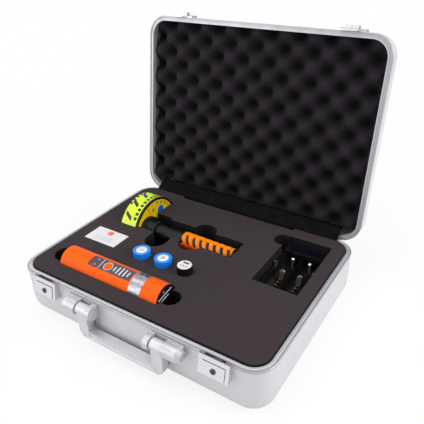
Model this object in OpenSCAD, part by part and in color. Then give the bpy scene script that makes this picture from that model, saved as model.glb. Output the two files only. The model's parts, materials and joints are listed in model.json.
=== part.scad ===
// Instrument carrying case, open, with a locator kit in its foam insert.
// The origin is the centre of the base's underside; the front (handle side) faces -Y.

/* [Case] */
// Width of the case opening, between the frame's inner faces
opening_w = 400; // [400:1:520]
// Depth of the case opening, front to back
opening_d = 295; // [295:1:380]
// Corner radius of the opening, seen from above
opening_r = 25; // [24:1:40]
// Height of the base, from the floor to the top of its frame
base_h = 76; // [76:1:110]
// Height of the lid, from its frame to its top
lid_h = 44; // [42:1:70]
// Radius of the rounded edge round the base's bottom and the lid's top
edge_r = 22; // [16:1:23]
// Sheet thickness of the pressed shells
sheet_t = 1.2; // [0.8:0.1:2]
// Angle that the lid opens to, where its hinges stop
lid_open = 98; // [95:1:105]

/* [Frame] */
// Width of the extruded frame
frame_w = 7.6; // [7:0.1:10]
// Height of the frame's inner leg
frame_leg = 9; // [7:0.5:11]
// Gap between the two frames when the lid is shut
frame_gap = 0.4; // [0.3:0.1:1]

/* [Hinges] */
// Distance of each hinge's centre from the middle of the case
hinge_x = 110; // [80:1:130]
// Length of a hinge
hinge_len = 60; // [40:1:80]
// Height of a hinge leaf
leaf_h = 26; // [18:1:30]
// Radius of the hinge pins
hinge_pin_r = 1.2; // [1:0.1:1.4]

/* [Handle] */
// Distance from the middle of the case to the middle of a handle arm
arm_x = 64; // [50:1:90]
// Width of a handle arm
arm_w = 18; // [12:1:24]
// Thickness of the handle, front to back
handle_t = 12; // [9:0.5:14]
// Height of the handle's grip bar
bar_h = 14; // [10:0.5:18]
// Distance from the handle's pivot to the bottom of its grip bar
handle_drop = 46; // [42:1:50]
// Outer radius of the handle brackets' barrels
barrel_r = 10.5; // [9.5:0.5:12]

/* [Latches] */
// Distance of each latch from the middle of the case
latch_x = 143.5; // [138:0.5:160]
// Width of a latch frame
latch_w = 42.5; // [40:0.5:50]
// Height of a latch frame
latch_h = 27; // [26:0.5:30]
// Radius of a lock cylinder
lock_r = 4; // [3:0.1:4]

/* [Transmitter] */
// Radius of the transmitter's tube
tube_r = 21.5; // [19:0.5:26]
// Length of the transmitter's tube
tube_len = 184; // [180:1:221]
// Wall of the transmitter's tube
tube_wall = 3; // [2:0.5:4]

/* [Detector] */
// Radius of the detector head's arched top
head_r = 56; // [52:0.5:68]
// Width of the detector head, between its flat sides
head_w = 98; // [82:1:110]
// Thickness of the detector head
head_t = 37; // [31:0.5:45]
// Radius of the detector's slotted grip
grip_r = 15.5; // [13:0.5:18]
// Length of the detector's slotted grip
grip_len = 92.5; // [88:0.5:100]

/* [Cells and charger] */
// Radius of a loose cell
cell_r = 13.3; // [11:0.1:16]
// Length of a loose cell
cell_len = 65.5; // [55:0.5:79]
// Thickness of the charger's side walls
charger_wall = 5.8; // [4:0.1:8]

/* [Hidden] */

smooth = 96;
touch = 0.01;          // how far cutters run past the faces that they cut
fit = 0.3;             // clearance of a soft or loose piece in its seat
running = 0.05;        // radial clearance of a pin in its bore

// Case sections, in the plane of the wall: x outward from the opening, y up
shell_out = frame_w - 0.6;
lip_h = 3;
bead_h = 1;
shell_top = base_h - lip_h;
lid_base = base_h + frame_gap;
lid_top = base_h + lid_h;
outer_w = opening_w + 2 * shell_out;
outer_d = opening_d + 2 * shell_out;
outer_r = opening_r + shell_out;
wall_front = -outer_d / 2;      // outer face of the front wall
wall_back = outer_d / 2;        // outer face of the back wall
frame_front = -opening_d / 2 - frame_w;

// Lid hinge
hinge_y = opening_d / 2 + 7.9;
hinge_z = base_h - 2;
knuckle_r = 2.6;
knuckle_n = 5;
notch_r = 3.3;
leaf_t = 1.2;
rivet_r = 1.5;
rivet_head_r = 3;
rivet_head_t = 1.2;
rivets_per_leaf = 3;
foot_x = 168;
foot_r = 8;
foot_h = 5;
foot_z = base_h - 37;

// Handle pivot
pivot_y = wall_front - 10.6;
pivot_z = base_h - 13;
bracket_in = arm_x - 18;
bracket_out = arm_x + 37;
screw_z = pivot_z - 3;
slot_w = arm_w + 2;
eye_r = 8.3;
handle_pin_r = 2.5;
recess_t = 1.8;                  // depth of the recess along the grip bar
pin_reach = 5;

// Latches
latch_t = 5.6;                   // how far the top stands off the wall
latch_low_t = 10.6;              // how far the bottom stands off it
latch_top = base_h + 3;
latch_bottom = latch_top - latch_h;
latch_side = 5;
latch_front = wall_front - latch_t;
lever_w = latch_w - 2 * latch_side - 1;
lever_top = base_h - 4;
lever_proud = 0.8;
lever_t = 3;
lever_pin_r = 1.2;
lever_hub_r = 2.4;
lever_y = wall_front - 6;
lever_z = latch_bottom + 3.4;
lock_z = base_h - 14.2;
lock_face = lever_front(lock_z);
tongue_t = 1.8;
tongue_w = 28;
tongue_y = wall_front - 3.5;     // front face of the hasp's tongue
tongue_low = base_h - 16;
window_low = base_h - 9.5;
window_h = 5;
window_w = 14;

// Foam insert: its top stands a little above the frame
foam_top = base_h + 2.5;
foam_w = opening_w - 1.4;
foam_d = opening_d - 1.8;
foam_low = sheet_t + fit;
lid_foam_face = base_h + 5;
lid_foam_back = opening_d / 2 - 11;
cover_len = opening_w - 2 * opening_r + 4;
cover_t = 0.5;

// Transmitter, lying along X in its pocket
tube_x = -157;                   // left end
tube_y = -opening_d / 2 + 49.5;
tube_z = foam_top - 6;
tube_turn = 9.5;                 // turned a little towards the front
tube_inner = tube_r - tube_wall;
panel_x = 51;                    // from the left end to the panel
panel_len = 80;
panel_w = 20;
panel_flat = tube_r - 2.6;
panel_t = 0.5;
button_x = 84;
button_r = 6;
band_x = 133;
band_len = 21;
band_t = 0.5;
cap_len = 14;
cap_t = 1.4;                     // flange of the cap, as wide as the tube
cap_groove = 1;
cap_pitch = 5.7;
cap_rise = 9.7;                  // topmost groove's height above the axis

// Detector: arched head, hub, neck and slotted grip on one axis along X
head_x = -158;                   // left side of the head
head_y = 66;
head_top = foam_top + 28.5;
head_low = head_top - 102.5;
tool_y = 45;
tool_z = foam_top - 16.5;
rim_t = 3.5;                     // dark rims on both sides of the band
band_set = 0.7;
face_t = 1.2;
face_set = 3.5;
hub_r = 22;
spigot_r = 12;
hub_x = head_x + head_t;
flange_x = hub_x + 20;
flange_r = 18;
neck_r = 14;
grip_x = -43;
grip_rib_pitch = 12.8;
grip_slot = 7.6;
grip_wall = 3;
grip_core_r = grip_r - grip_wall;
grip_end_r = grip_r - 1.4;       // the grip narrows towards its end
grip_cap = 2.5;                  // end plate of the core, behind the grip
grip_slots = 7;                  // whole slots, after one that is open at the grip's end
grip_first = 7.6;                // from the grip's end to the middle of the first whole slot
slot_low = 3.8;                  // slots' height above the axis at their lower end
slot_high = grip_r - 0.5;
slot_lean = 0.72;                // how far a slot leans along X for each step of height
spine_half = 1.9;
grip_room = 6;                   // room for fingers beside the grip
trough_end = grip_x + grip_len + 6.5;
finger_r = 20;                   // half-round finger slots across the grip
finger_x = grip_x + 26;
neck_finger_r = 18;              // finger slot beside the neck
neck_finger_x = grip_x - 27;
neck_finger_y = tool_y - 41.5;
key_r = 7.2;
key_rise = 2.2;                  // half of the key's straight sides
key_y = head_y + 15.4;
key_z = head_top - head_r + 29;
button_travel = 0.8;
lamp_n = 4;
lamp_r = 2.3;
lamp_ring = head_r - 8;          // circle that the lamps stand on
lamp_from = 10;
lamp_to = asin((head_w / 2 - 12) / lamp_ring);

// Loose cells and puck, standing in the foam
cell_y = -40.8;
cell_left_x = -61.5;
cell_right_x = -21;
cell_top = foam_top + 10;
cell_rim = 4.8;                  // wrap's fold over the top of a cell
puck_x = 18;
puck_r = 11.6;
puck_h = 32;
puck_top = foam_top + 12;

// Charger
charger_x = 143.5;               // middle of the charger
charger_y = -5;                  // front end
charger_top = foam_top - 16.5;
charger_low = charger_top - 30;
block_top = charger_top + 5;
bay_r = cell_r + 0.4;
bay_x = bay_r + 0.3;             // bays' distance from the middle
charger_w = 2 * (bay_x + bay_r + charger_wall);
charger_len = cell_len + 60.5;
bay_y = charger_y + 5;
bay_end = charger_y + charger_len - 23;
bay_z = charger_top - 2;         // height of the bays' axes
contact_r = 3.4;
contact_reach = 8;
slider_y = bay_end - 50;
slider_t = 3;
slider_tip = 3;
slider_travel = slider_y + slider_t + slider_tip - (bay_end - contact_reach - contact_r - cell_len);
rail_w = 4;
plate_w = 6.4;
post_low = bay_z - bay_r - 3;     // foot of a fixed contact's post
lug_h = 5.7;

// Card
card_w = 62;
card_d = 36.5;
card_t = 0.4;

// Colours
silver = [0.80, 0.80, 0.82];
bright = [0.88, 0.88, 0.90];
steel = [0.62, 0.63, 0.65];
foam_grey = [0.27, 0.23, 0.24];
black = [0.06, 0.06, 0.07];
orange = [1.0, 0.42, 0.08];
lime = [0.84, 0.95, 0.10];
yellow = [0.90, 0.78, 0.02];
blue = [0.10, 0.42, 0.85];
white = [0.95, 0.95, 0.95];
brass = [0.80, 0.62, 0.30];

// ---------- shared shapes ----------

// Sweeps a section (x outward, y up) round a rectangle with rounded corners
module ring(w, d, r) {
    for (q = [0 : 3]) {
        sx = (q == 0 || q == 3) ? 1 : -1;
        sy = q < 2 ? 1 : -1;
        translate([sx * (w / 2 - r), sy * (d / 2 - r), 0])
            rotate([0, 0, 90 * q])
                rotate_extrude(angle = 90, $fn = smooth) translate([r, 0]) children();
    }
    for (side = [0, 180]) {
        rotate([0, 0, side]) translate([w / 2, 0, 0])
            rotate([90, 0, 0]) linear_extrude(height = d - 2 * r, center = true) children();
        rotate([0, 0, side + 90]) translate([d / 2, 0, 0])
            rotate([90, 0, 0]) linear_extrude(height = w - 2 * r, center = true) children();
    }
}

// Solid block with rounded upright corners and a rounded edge round its bottom
module tray(w, d, r, z0, z1, er) {
    ring(w, d, r) {
        translate([-r, z0]) square([r - er, er]);
        translate([-r, z0 + er]) square([r, z1 - z0 - er]);
        intersection() {
            translate([-er, z0 + er]) circle(r = er, $fn = smooth);
            translate([-er, z0]) square(er);
        }
    }
    translate([-(w / 2 - r), -(d / 2 - r), z0]) cube([w - 2 * r, d - 2 * r, z1 - z0]);
}

// Carries its children from the closed lid to the open lid
module opened() {
    translate([0, hinge_y, hinge_z]) rotate([-lid_open, 0, 0])
        translate([0, -hinge_y, -hinge_z]) children();
}

// Cylinder along X between two ends
module rod_x(x0, x1, y, z, r) {
    translate([x0, y, z]) rotate([0, 90, 0]) cylinder(r = r, h = x1 - x0, $fn = smooth);
}

// Cylinder along Y between two ends
module rod_y(x, y0, y1, z, r) {
    translate([x, y0, z]) rotate([-90, 0, 0]) cylinder(r = r, h = y1 - y0, $fn = smooth);
}

// Upright cylinder between two levels
module rod_z(x, y, z0, z1, r) {
    translate([x, y, z0]) cylinder(r = r, h = z1 - z0, $fn = smooth);
}

// Flat outline with rounded corners, centred
module rounded_rect(w, h, r) {
    square([w - 2 * r, h], center = true);
    square([w, h - 2 * r], center = true);
    for (sx = [-1, 1], sy = [-1, 1])
        translate([sx * (w / 2 - r), sy * (h / 2 - r)]) circle(r = r, $fn = smooth);
}

// Block between two corners
module block(x0, x1, y0, y1, z0, z1) {
    translate([x0, y0, z0]) cube([x1 - x0, y1 - y0, z1 - z0]);
}

// Places its children at the left and the right of the case
module both_sides(x) {
    for (side = [-1, 1]) translate([side * x, 0, 0]) children();
}

// ---------- hinges ----------

function knuckle_len() = hinge_len / knuckle_n;
function leaf_rivet_x(i) = (i - (rivets_per_leaf - 1) / 2) * hinge_len / rivets_per_leaf;

// Barrel pieces of one leaf: the even or the odd ones
module knuckles(odd) {
    for (i = [0 : knuckle_n - 1])
        if (i % 2 == (odd ? 1 : 0))
            rod_x(-hinge_len / 2 + i * knuckle_len() + 0.15,
                  -hinge_len / 2 + (i + 1) * knuckle_len() - 0.15, hinge_y, hinge_z, knuckle_r);
}

// Webs from the barrel pieces to the leaf
module knuckle_webs(odd, z0, z1) {
    for (i = [0 : knuckle_n - 1])
        if (i % 2 == (odd ? 1 : 0))
            block(-hinge_len / 2 + i * knuckle_len() + 0.15,
                  -hinge_len / 2 + (i + 1) * knuckle_len() - 0.15,
                  wall_back, wall_back + leaf_t, z0, z1);
}

module leaf_holes(z) {
    for (i = [0 : rivets_per_leaf - 1])
        rod_y(leaf_rivet_x(i), wall_back - sheet_t - touch, wall_back + leaf_t + touch, z,
              rivet_r + running);
}

module pin_bore() {
    rod_x(-hinge_len / 2 - 1, hinge_len / 2 + 1, hinge_y, hinge_z, hinge_pin_r + running);
}

base_rivet_z = hinge_z - 5 - leaf_h / 2 + 2;
lid_rivet_z = lid_base + lip_h + 11;

module hinge_base_leaves() {
    color(steel) both_sides(hinge_x) difference() {
        union() {
            block(-hinge_len / 2, hinge_len / 2, wall_back, wall_back + leaf_t,
                  hinge_z - leaf_h, hinge_z - notch_r);
            knuckles(false);
            knuckle_webs(false, hinge_z - notch_r - touch, hinge_z);
        }
        pin_bore();
        leaf_holes(base_rivet_z);
    }
}

module hinge_lid_leaves() {
    color(steel) opened() both_sides(hinge_x) difference() {
        union() {
            block(-hinge_len / 2, hinge_len / 2, wall_back, wall_back + leaf_t,
                  hinge_z + notch_r, lid_top - edge_r + 1);
            knuckles(true);
            knuckle_webs(true, hinge_z, hinge_z + notch_r + touch);
        }
        pin_bore();
        leaf_holes(lid_rivet_z);
    }
}

module hinge_pins() {
    color(bright) both_sides(hinge_x) {
        rod_x(-hinge_len / 2 + 0.15, hinge_len / 2 - 0.15, hinge_y, hinge_z, hinge_pin_r);
        for (end = [-1, 1])
            rod_x(end * (hinge_len / 2 + 0.35) - 0.5, end * (hinge_len / 2 + 0.35) + 0.5,
                  hinge_y, hinge_z, hinge_pin_r + 0.7);
    }
}

// Room in a frame or shell for the hinge barrels and leaves
module hinge_room(z0, z1) {
    both_sides(hinge_x) {
        rod_x(-hinge_len / 2 - 1.2, hinge_len / 2 + 1.2, hinge_y, hinge_z, notch_r);
        block(-hinge_len / 2 - 0.2, hinge_len / 2 + 0.2, wall_back, wall_back + 2, z0, z1);
    }
}

module leaf_rivets(z) {
    both_sides(hinge_x) for (i = [0 : rivets_per_leaf - 1]) {
        x = leaf_rivet_x(i);
        rod_y(x, wall_back - sheet_t, wall_back + leaf_t, z, rivet_r);
        rod_y(x, wall_back + leaf_t, wall_back + leaf_t + rivet_head_t, z, rivet_head_r);
        rod_y(x, wall_back - sheet_t - rivet_head_t, wall_back - sheet_t, z, rivet_head_r);
    }
}

// ---------- base ----------

module bracket_screw_places() {
    for (side = [-1, 1], x = [bracket_in + 4, bracket_out - 12])
        translate([side * x, 0, 0]) children();
}

module latch_rivet_places() {
    for (side = [-1, 1], x = [-1, 1])
        translate([side * latch_x + x * (latch_w / 2 - latch_side / 2), 0, 0]) children();
}
latch_rivet_z = latch_bottom + 6.5;
rivet_small = 1.1;

module base_shell() {
    color(silver) difference() {
        tray(outer_w, outer_d, outer_r, 0, shell_top, edge_r);
        tray(outer_w - 2 * sheet_t, outer_d - 2 * sheet_t, outer_r - sheet_t, sheet_t,
             shell_top + 1, edge_r - sheet_t);
        hinge_room(shell_top, shell_top + 1);
        both_sides(hinge_x) leaf_holes(base_rivet_z);
        bracket_screw_places()
            rod_y(0, wall_front - 1, wall_front + sheet_t + 1, screw_z, rivet_r + running);
        latch_rivet_places()
            rod_y(0, wall_front - 1, wall_front + sheet_t + 1, latch_rivet_z,
                  rivet_small + running);
    }
}

// Section of the base frame: a lip over the shell's edge, an inner leg and a raised bead
module base_frame_section() {
    difference() {
        union() {
            translate([0, base_h - frame_leg]) square([shell_out - sheet_t - 0.1, frame_leg]);
            translate([0, shell_top]) square([frame_w, lip_h]);
            translate([3, base_h - touch]) square([1.6, bead_h]);
        }
        translate([1.2, base_h - 0.7]) square([0.7, 1]);
        translate([frame_w - 1.6, base_h - 0.7]) square([0.7, 1]);
        translate([frame_w, base_h]) rotate(45) square(0.9, center = true);
    }
}

module base_frame() {
    color(bright) difference() {
        ring(opening_w, opening_d, opening_r) base_frame_section();
        hinge_room(shell_top - 1, base_h + 2);
    }
}

// ---------- foam insert and its pockets ----------

module transmitter_pocket() {
    wells = [[tube_x - 8, 17.5], [tube_x + tube_len + 7.5, 15]];
    rod_x(tube_x - fit, tube_x + tube_len + fit, tube_y, tube_z, tube_r + fit);
    block(tube_x - fit, tube_x + tube_len + fit, tube_y - tube_r - fit, tube_y + tube_r + fit,
          tube_z, foam_top + 1);
    for (well = wells)
        rod_z(well[0], tube_y, tube_z - tube_r + 2, foam_top + 1, well[1]);
}

// Outline of the detector's head: an arch on straight sides, in the plane across its axis
module head_outline(grow) {
    intersection() {
        translate([head_y, head_top - head_r]) circle(r = head_r + grow, $fn = 2 * smooth);
        translate([head_y - head_w / 2 - grow, head_low - grow])
            square([head_w + 2 * grow, head_top]);
    }
}

module detector_pocket() {
    well_low = tool_z - hub_r - fit;
    trough_low = tool_z - grip_r - fit;
    block(head_x - fit, hub_x + 2, head_y - head_w / 2 - fit, head_y + head_w / 2 + fit,
          head_low - fit, foam_top + 1);
    // well round the hub and the neck, open to the front for the fingers
    block(hub_x, flange_x + 14, tool_y - hub_r - 1.5, tool_y + hub_r + 4.5, well_low,
          foam_top + 1);
    block(flange_x, grip_x - 8, tool_y - flange_r - 1, tool_y + flange_r + 3.5, well_low,
          foam_top + 1);
    block(neck_finger_x - neck_finger_r, neck_finger_x + neck_finger_r, neck_finger_y, tool_y,
          well_low, foam_top + 1);
    rod_z(neck_finger_x, neck_finger_y, well_low, foam_top + 1, neck_finger_r);
    // trough of the grip
    block(grip_x - 9, trough_end, tool_y - grip_r - grip_room,
          tool_y + grip_r + grip_room, trough_low, foam_top + 1);
    // finger slots across the grip
    block(finger_x - finger_r, finger_x + finger_r, tool_y - finger_r, tool_y + finger_r,
          trough_low, foam_top + 1);
    for (side = [-1, 1])
        rod_z(finger_x, tool_y + side * finger_r, trough_low, foam_top + 1, finger_r);
}

module charger_pocket() {
    block(charger_x - charger_w / 2 - 1.5, charger_x + charger_w / 2 + 1.5,
          charger_y - 1.5, charger_y + charger_len + 1.5, charger_low - fit, foam_top + 1);
    rod_z(charger_x - charger_w / 2 - 7, charger_y + charger_len - 14, charger_top - 12,
          foam_top + 1, 14);
}

// Seams between the blocks that the base's foam is made of
seam_x = (trough_end + charger_x - charger_w / 2 - 21) / 2;
seam_y = (tube_y + tube_r + cell_y - cell_r) / 2;

// What one block of the foam keeps: the part of the insert between four limits
module foam_block(x0, x1, y0, y1) {
    color(foam_grey) difference() {
        intersection() {
            tray(foam_w, foam_d, opening_r - 1, foam_low, foam_top, edge_r - sheet_t);
            block(x0, x1, y0, y1, foam_low - 1, foam_top + 1);
        }
        children();
        // shallow step along the back edge, for the hinge cover
        block(-114, 106, opening_d / 2 - 7, opening_d / 2 + 1, foam_top - 5, foam_top + 1);
    }
}

module base_foam_front() {
    foam_block(-opening_w, opening_w, -opening_d, seam_y) transmitter_pocket();
}

module base_foam_left() {
    foam_block(-opening_w, seam_x, seam_y, opening_d) {
        detector_pocket();
        for (x = [cell_left_x, cell_right_x])
            rod_z(x, cell_y, cell_top - cell_len - fit, foam_top + 1, cell_r + fit);
        rod_z(puck_x, cell_y, puck_top - puck_h - fit, foam_top + 1, puck_r + fit);
    }
}

module base_foam_right() {
    foam_block(seam_x, opening_w, seam_y, opening_d) charger_pocket();
}

module blank_card() {
    color(white) block(-176, -176 + card_w, -48, -48 + card_d, foam_top, foam_top + card_t);
}

// Place of a point of the closed lid once the lid is open, in the plane across the hinge
function opened_point(p) = [
    hinge_y + (p[0] - hinge_y) * cos(lid_open) + (p[1] - hinge_z) * sin(lid_open),
    hinge_z - (p[0] - hinge_y) * sin(lid_open) + (p[1] - hinge_z) * cos(lid_open)
];

// Flexible strip over the hinge gap: it rises behind the base foam, bends back and runs in
// under the lid foam
cover_line = [
    [opening_d / 2 - 0.45, base_h - frame_leg + 1],
    [opening_d / 2 - 0.45, foam_top + 0.3],
    opened_point([lid_foam_back + 0.6, lid_foam_face + 0.3]),
    opened_point([lid_foam_back + 0.6, lid_foam_face + 8])
];

module hinge_cover() {
    color(black) translate([-cover_len / 2, 0, 0]) rotate([90, 0, 90])
        linear_extrude(height = cover_len) {
            for (i = [0 : 2]) {
                from = cover_line[i];
                step = cover_line[i + 1] - from;
                translate(from) rotate(atan2(step[1], step[0]))
                    translate([0, -cover_t / 2]) square([norm(step), cover_t]);
            }
            for (i = [1, 2]) translate(cover_line[i]) circle(d = cover_t, $fn = 24);
        }
}

module base_rear_feet() {
    color(black) both_sides(foot_x)
        rod_y(0, wall_back, wall_back + foot_h, foot_z, foot_r);
}

// ---------- handle ----------

module handle_bracket() {
    difference() {
        union() {
            rod_x(bracket_in, bracket_out - 6, pivot_y, pivot_z, barrel_r);
            translate([bracket_out - 6, pivot_y, pivot_z]) rotate([0, 90, 0])
                cylinder(r1 = barrel_r, r2 = barrel_r - 4, h = 6, $fn = smooth);
            block(bracket_in, bracket_out - 3, pivot_y, wall_front,
                  pivot_z - barrel_r, shell_top - 1);
        }
        // slot for the handle's eye, open to the front, top and bottom
        block(arm_x - slot_w / 2, arm_x + slot_w / 2, pivot_y - barrel_r - 1, pivot_y + eye_r + 0.3,
              pivot_z - barrel_r - 1, pivot_z + barrel_r + 1);
        rod_x(arm_x - slot_w / 2 - pin_reach, arm_x + slot_w / 2 + pin_reach, pivot_y, pivot_z,
              handle_pin_r + running);
        for (x = [bracket_in + 4, bracket_out - 12])
            rod_y(x, wall_front - 7, wall_front + 1, screw_z, rivet_r + running);
    }
}

module handle_bracket_right() { color(silver) handle_bracket(); }
module handle_bracket_left() { color(silver) mirror([1, 0, 0]) handle_bracket(); }

module handle_pins() {
    color(steel) for (side = [-1, 1])
        rod_x(side * arm_x - slot_w / 2 - pin_reach + 0.2, side * arm_x + slot_w / 2 + pin_reach - 0.2,
              pivot_y, pivot_z, handle_pin_r);
}

module bracket_screws() {
    bracket_screw_places() {
        rod_y(0, wall_front - 6.8, wall_front + sheet_t, screw_z, rivet_r);
        rod_y(0, wall_front + sheet_t, wall_front + sheet_t + 2, screw_z, rivet_head_r);
    }
}

module carry_handle() {
    outer_half = arm_x + arm_w / 2;
    color(silver) difference() {
        union() {
            // arms and grip bar, as one bow
            translate([0, pivot_y + handle_t / 2, 0]) rotate([90, 0, 0])
                linear_extrude(height = handle_t) difference() {
                    union() {
                        for (side = [-1, 1])
                            translate([side * arm_x - arm_w / 2, pivot_z - handle_drop + 12])
                                square([arm_w, handle_drop - 12]);
                        translate([0, pivot_z - handle_drop + 12])
                            rounded_rect(2 * outer_half, 24, 11.9);
                    }
                    translate([-(arm_x - arm_w / 2), pivot_z - handle_drop + bar_h])
                        square([2 * (arm_x - arm_w / 2), handle_drop]);
                }
            both_sides(arm_x) rod_x(-arm_w / 2, arm_w / 2, pivot_y, pivot_z, eye_r);
        }
        // recess along the front of the grip bar
        block(-(arm_x - arm_w / 2), arm_x - arm_w / 2, pivot_y - handle_t / 2 - 1,
              pivot_y - handle_t / 2 + recess_t, pivot_z - handle_drop + 0.33 * bar_h,
              pivot_z - handle_drop + 0.83 * bar_h);
        both_sides(arm_x)
            rod_x(-arm_w / 2 - 1, arm_w / 2 + 1, pivot_y, pivot_z, handle_pin_r + running);
    }
}

// ---------- latches ----------

// Front face of a latch frame and of its lever at a height: both lean out towards the bottom
function latch_face(z) =
    wall_front - latch_t - (latch_low_t - latch_t) * (latch_top - z) / latch_h;
function lever_front(z) = latch_face(z) - lever_proud;

// Prism along X with its outline given as [y, z]
module prism_x(x0, x1, outline) {
    translate([x0, 0, 0]) rotate([90, 0, 90]) linear_extrude(height = x1 - x0)
        polygon(outline);
}

module latch_frame() {
    half = latch_w / 2;
    in = half - latch_side;
    difference() {
        prism_x(-half, half, [[wall_front, latch_bottom], [latch_face(latch_bottom), latch_bottom],
            [latch_front, latch_top], [wall_front, latch_top]]);
        // opening for the lever
        block(-in, in, wall_front - 14, wall_front - 0.8, latch_bottom + 1.2, lever_top + 0.6);
        block(-in, in, wall_front - 14, wall_front - 3.8, latch_bottom - 1, latch_bottom + 3);
        // room for the hasp between a front plate and a back plate, open at the top
        block(-in, in, latch_front + 0.9, wall_front - 0.8, latch_bottom + 1.2, latch_top - 2);
        block(-tongue_w / 2 - 0.5, tongue_w / 2 + 0.5, tongue_y - 0.7, wall_front - 0.8,
              latch_top - 3, latch_top + 1);
        // clear of the frame's lip
        block(-half - 1, half + 1, frame_front - 0.05, wall_front + 1, shell_top - 0.1,
              latch_top + 1);
        rod_x(-in - 2.5, in + 2.5, lever_y, lever_z, lever_pin_r + running);
        for (side = [-1, 1])
            rod_y(side * (half - latch_side / 2), wall_front - 3.5, wall_front + 1, latch_rivet_z,
                  rivet_small + running);
    }
}

module latch_frame_left() { color(bright) translate([-latch_x, 0, 0]) latch_frame(); }
module latch_frame_right() { color(bright) translate([latch_x, 0, 0]) latch_frame(); }

module latch_pins() {
    reach = latch_w / 2 - latch_side + 2.2;
    color(steel) both_sides(latch_x) rod_x(-reach, reach, lever_y, lever_z, lever_pin_r);
}

module latch_rivets() {
    latch_rivet_places() {
        rod_y(0, wall_front - 3.2, wall_front + sheet_t, latch_rivet_z, rivet_small);
        rod_y(0, wall_front + sheet_t, wall_front + sheet_t + 1, latch_rivet_z, rivet_small + 1);
    }
}

// Rivets and screws through the base: hinges, handle brackets and latches
module base_fastenings() {
    color(steel) {
        leaf_rivets(base_rivet_z);
        bracket_screws();
        latch_rivets();
    }
}

module latch_lever() {
    low = lever_z - lever_hub_r;
    difference() {
        union() {
            prism_x(-lever_w / 2, lever_w / 2, [[lever_front(low), low],
                [lever_front(lever_top), lever_top],
                [lever_front(lever_top) + lever_t, lever_top], [lever_front(low) + lever_t, low]]);
            rod_x(-lever_w / 2, lever_w / 2, lever_y, lever_z, lever_hub_r);
            // tooth that holds the hasp
            block(-window_w / 2 + 1, window_w / 2 - 1, wall_front - 6.6,
                  tongue_y + tongue_t - 0.2, window_low + 1, window_low + 4);
        }
        rod_x(-lever_w / 2 - 1, lever_w / 2 + 1, lever_y, lever_z, lever_pin_r + running);
        rod_y(0, wall_front - 14, wall_front, lock_z, lock_r + running);
        // room for the collar behind the lock
        rod_y(0, lock_face + lever_t + 0.1, wall_front, lock_z, lock_r + 0.8);
    }
}

module latch_lever_left() { color(bright) translate([-latch_x, 0, 0]) latch_lever(); }
module latch_lever_right() { color(bright) translate([latch_x, 0, 0]) latch_lever(); }

module lock_cylinder() {
    difference() {
        union() {
            rod_y(0, lock_face - 0.7, lock_face + lever_t + 0.15, lock_z, lock_r);
            rod_y(0, lock_face + lever_t + 0.15, lock_face + lever_t + 0.9, lock_z, lock_r + 0.6);
        }
        block(-0.6, 0.6, lock_face - 1, lock_face + 2, lock_z - lock_r + 1.2,
              lock_z + lock_r - 1.2);
    }
}

module lock_cylinder_left() { color(steel) translate([-latch_x, 0, 0]) lock_cylinder(); }
module lock_cylinder_right() { color(steel) translate([latch_x, 0, 0]) lock_cylinder(); }

// ---------- lid ----------

hasp_rivet_z = lid_base + lip_h + 9;

// Turns a tray upside down, so that its rounded edge is round the top
module lid_tray(w, d, r, z0, z1, er) {
    translate([0, 0, z0 + z1]) mirror([0, 0, 1]) tray(w, d, r, z0, z1, er);
}

module lid_shell() {
    color(silver) opened() difference() {
        lid_tray(outer_w, outer_d, outer_r, lid_base + lip_h, lid_top, edge_r);
        lid_tray(outer_w - 2 * sheet_t, outer_d - 2 * sheet_t, outer_r - sheet_t,
                 lid_base + lip_h - 1, lid_top - sheet_t, edge_r - sheet_t);
        hinge_room(lid_base + lip_h - 1, lid_base + lip_h);
        both_sides(hinge_x) leaf_holes(lid_rivet_z);
        for (side = [-1, 1], x = [-8, 8])
            rod_y(side * latch_x + x, wall_front - 1, wall_front + sheet_t + 1, hasp_rivet_z,
                  rivet_small + running);
    }
}

// Section of the lid frame: the base frame's, upside down, with a groove for the bead
module lid_frame_section() {
    difference() {
        union() {
            translate([0, lid_base]) square([shell_out - sheet_t - 0.1, frame_leg]);
            translate([0, lid_base]) square([frame_w, lip_h]);
        }
        translate([2.4, lid_base - 1]) square([2.6, bead_h + 1]);
        translate([frame_w, lid_base]) rotate(45) square(0.9, center = true);
    }
}

module lid_frame() {
    color(bright) opened() difference() {
        ring(opening_w, opening_d, opening_r) lid_frame_section();
        hinge_room(lid_base - 1, lid_base + lip_h + 1);
    }
}

module lid_foam() {
    color(foam_grey) opened() intersection() {
        lid_tray(foam_w, foam_d, opening_r - 1, lid_foam_face, lid_top - sheet_t - fit,
                 edge_r - sheet_t);
        block(-foam_w, foam_w, -foam_d, lid_foam_back, 0, 2 * lid_top);
    }
}

module lid_hasps() {
    plate_w = 40;
    color(bright) opened() both_sides(latch_x) difference() {
        union() {
            block(-tongue_w / 2, tongue_w / 2, tongue_y, tongue_y + tongue_t,
                  tongue_low, lid_base + lip_h + 16);
            block(-plate_w / 2, plate_w / 2, tongue_y, wall_front, lid_base + lip_h + 1,
                  lid_base + lip_h + 16);
            block(-10, 10, wall_front - 8, tongue_y + touch, lid_base + lip_h,
                  lid_base + lip_h + 9);
        }
        block(-window_w / 2, window_w / 2, tongue_y - 1, tongue_y + tongue_t + 1,
              window_low, window_low + window_h);
        for (x = [-8, 8])
            rod_y(x, wall_front - 2.5, wall_front + 1, hasp_rivet_z, rivet_small + running);
    }
}

module hasp_rivets() {
    for (side = [-1, 1], x = [-8, 8]) {
        rod_y(side * latch_x + x, wall_front - 2.3, wall_front + sheet_t, hasp_rivet_z,
              rivet_small);
        rod_y(side * latch_x + x, wall_front + sheet_t, wall_front + sheet_t + 1, hasp_rivet_z,
              rivet_small + 1);
    }
}

// Rivets through the lid: hinges and hasps
module lid_fastenings() {
    color(steel) opened() {
        leaf_rivets(lid_rivet_z);
        hasp_rivets();
    }
}

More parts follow.
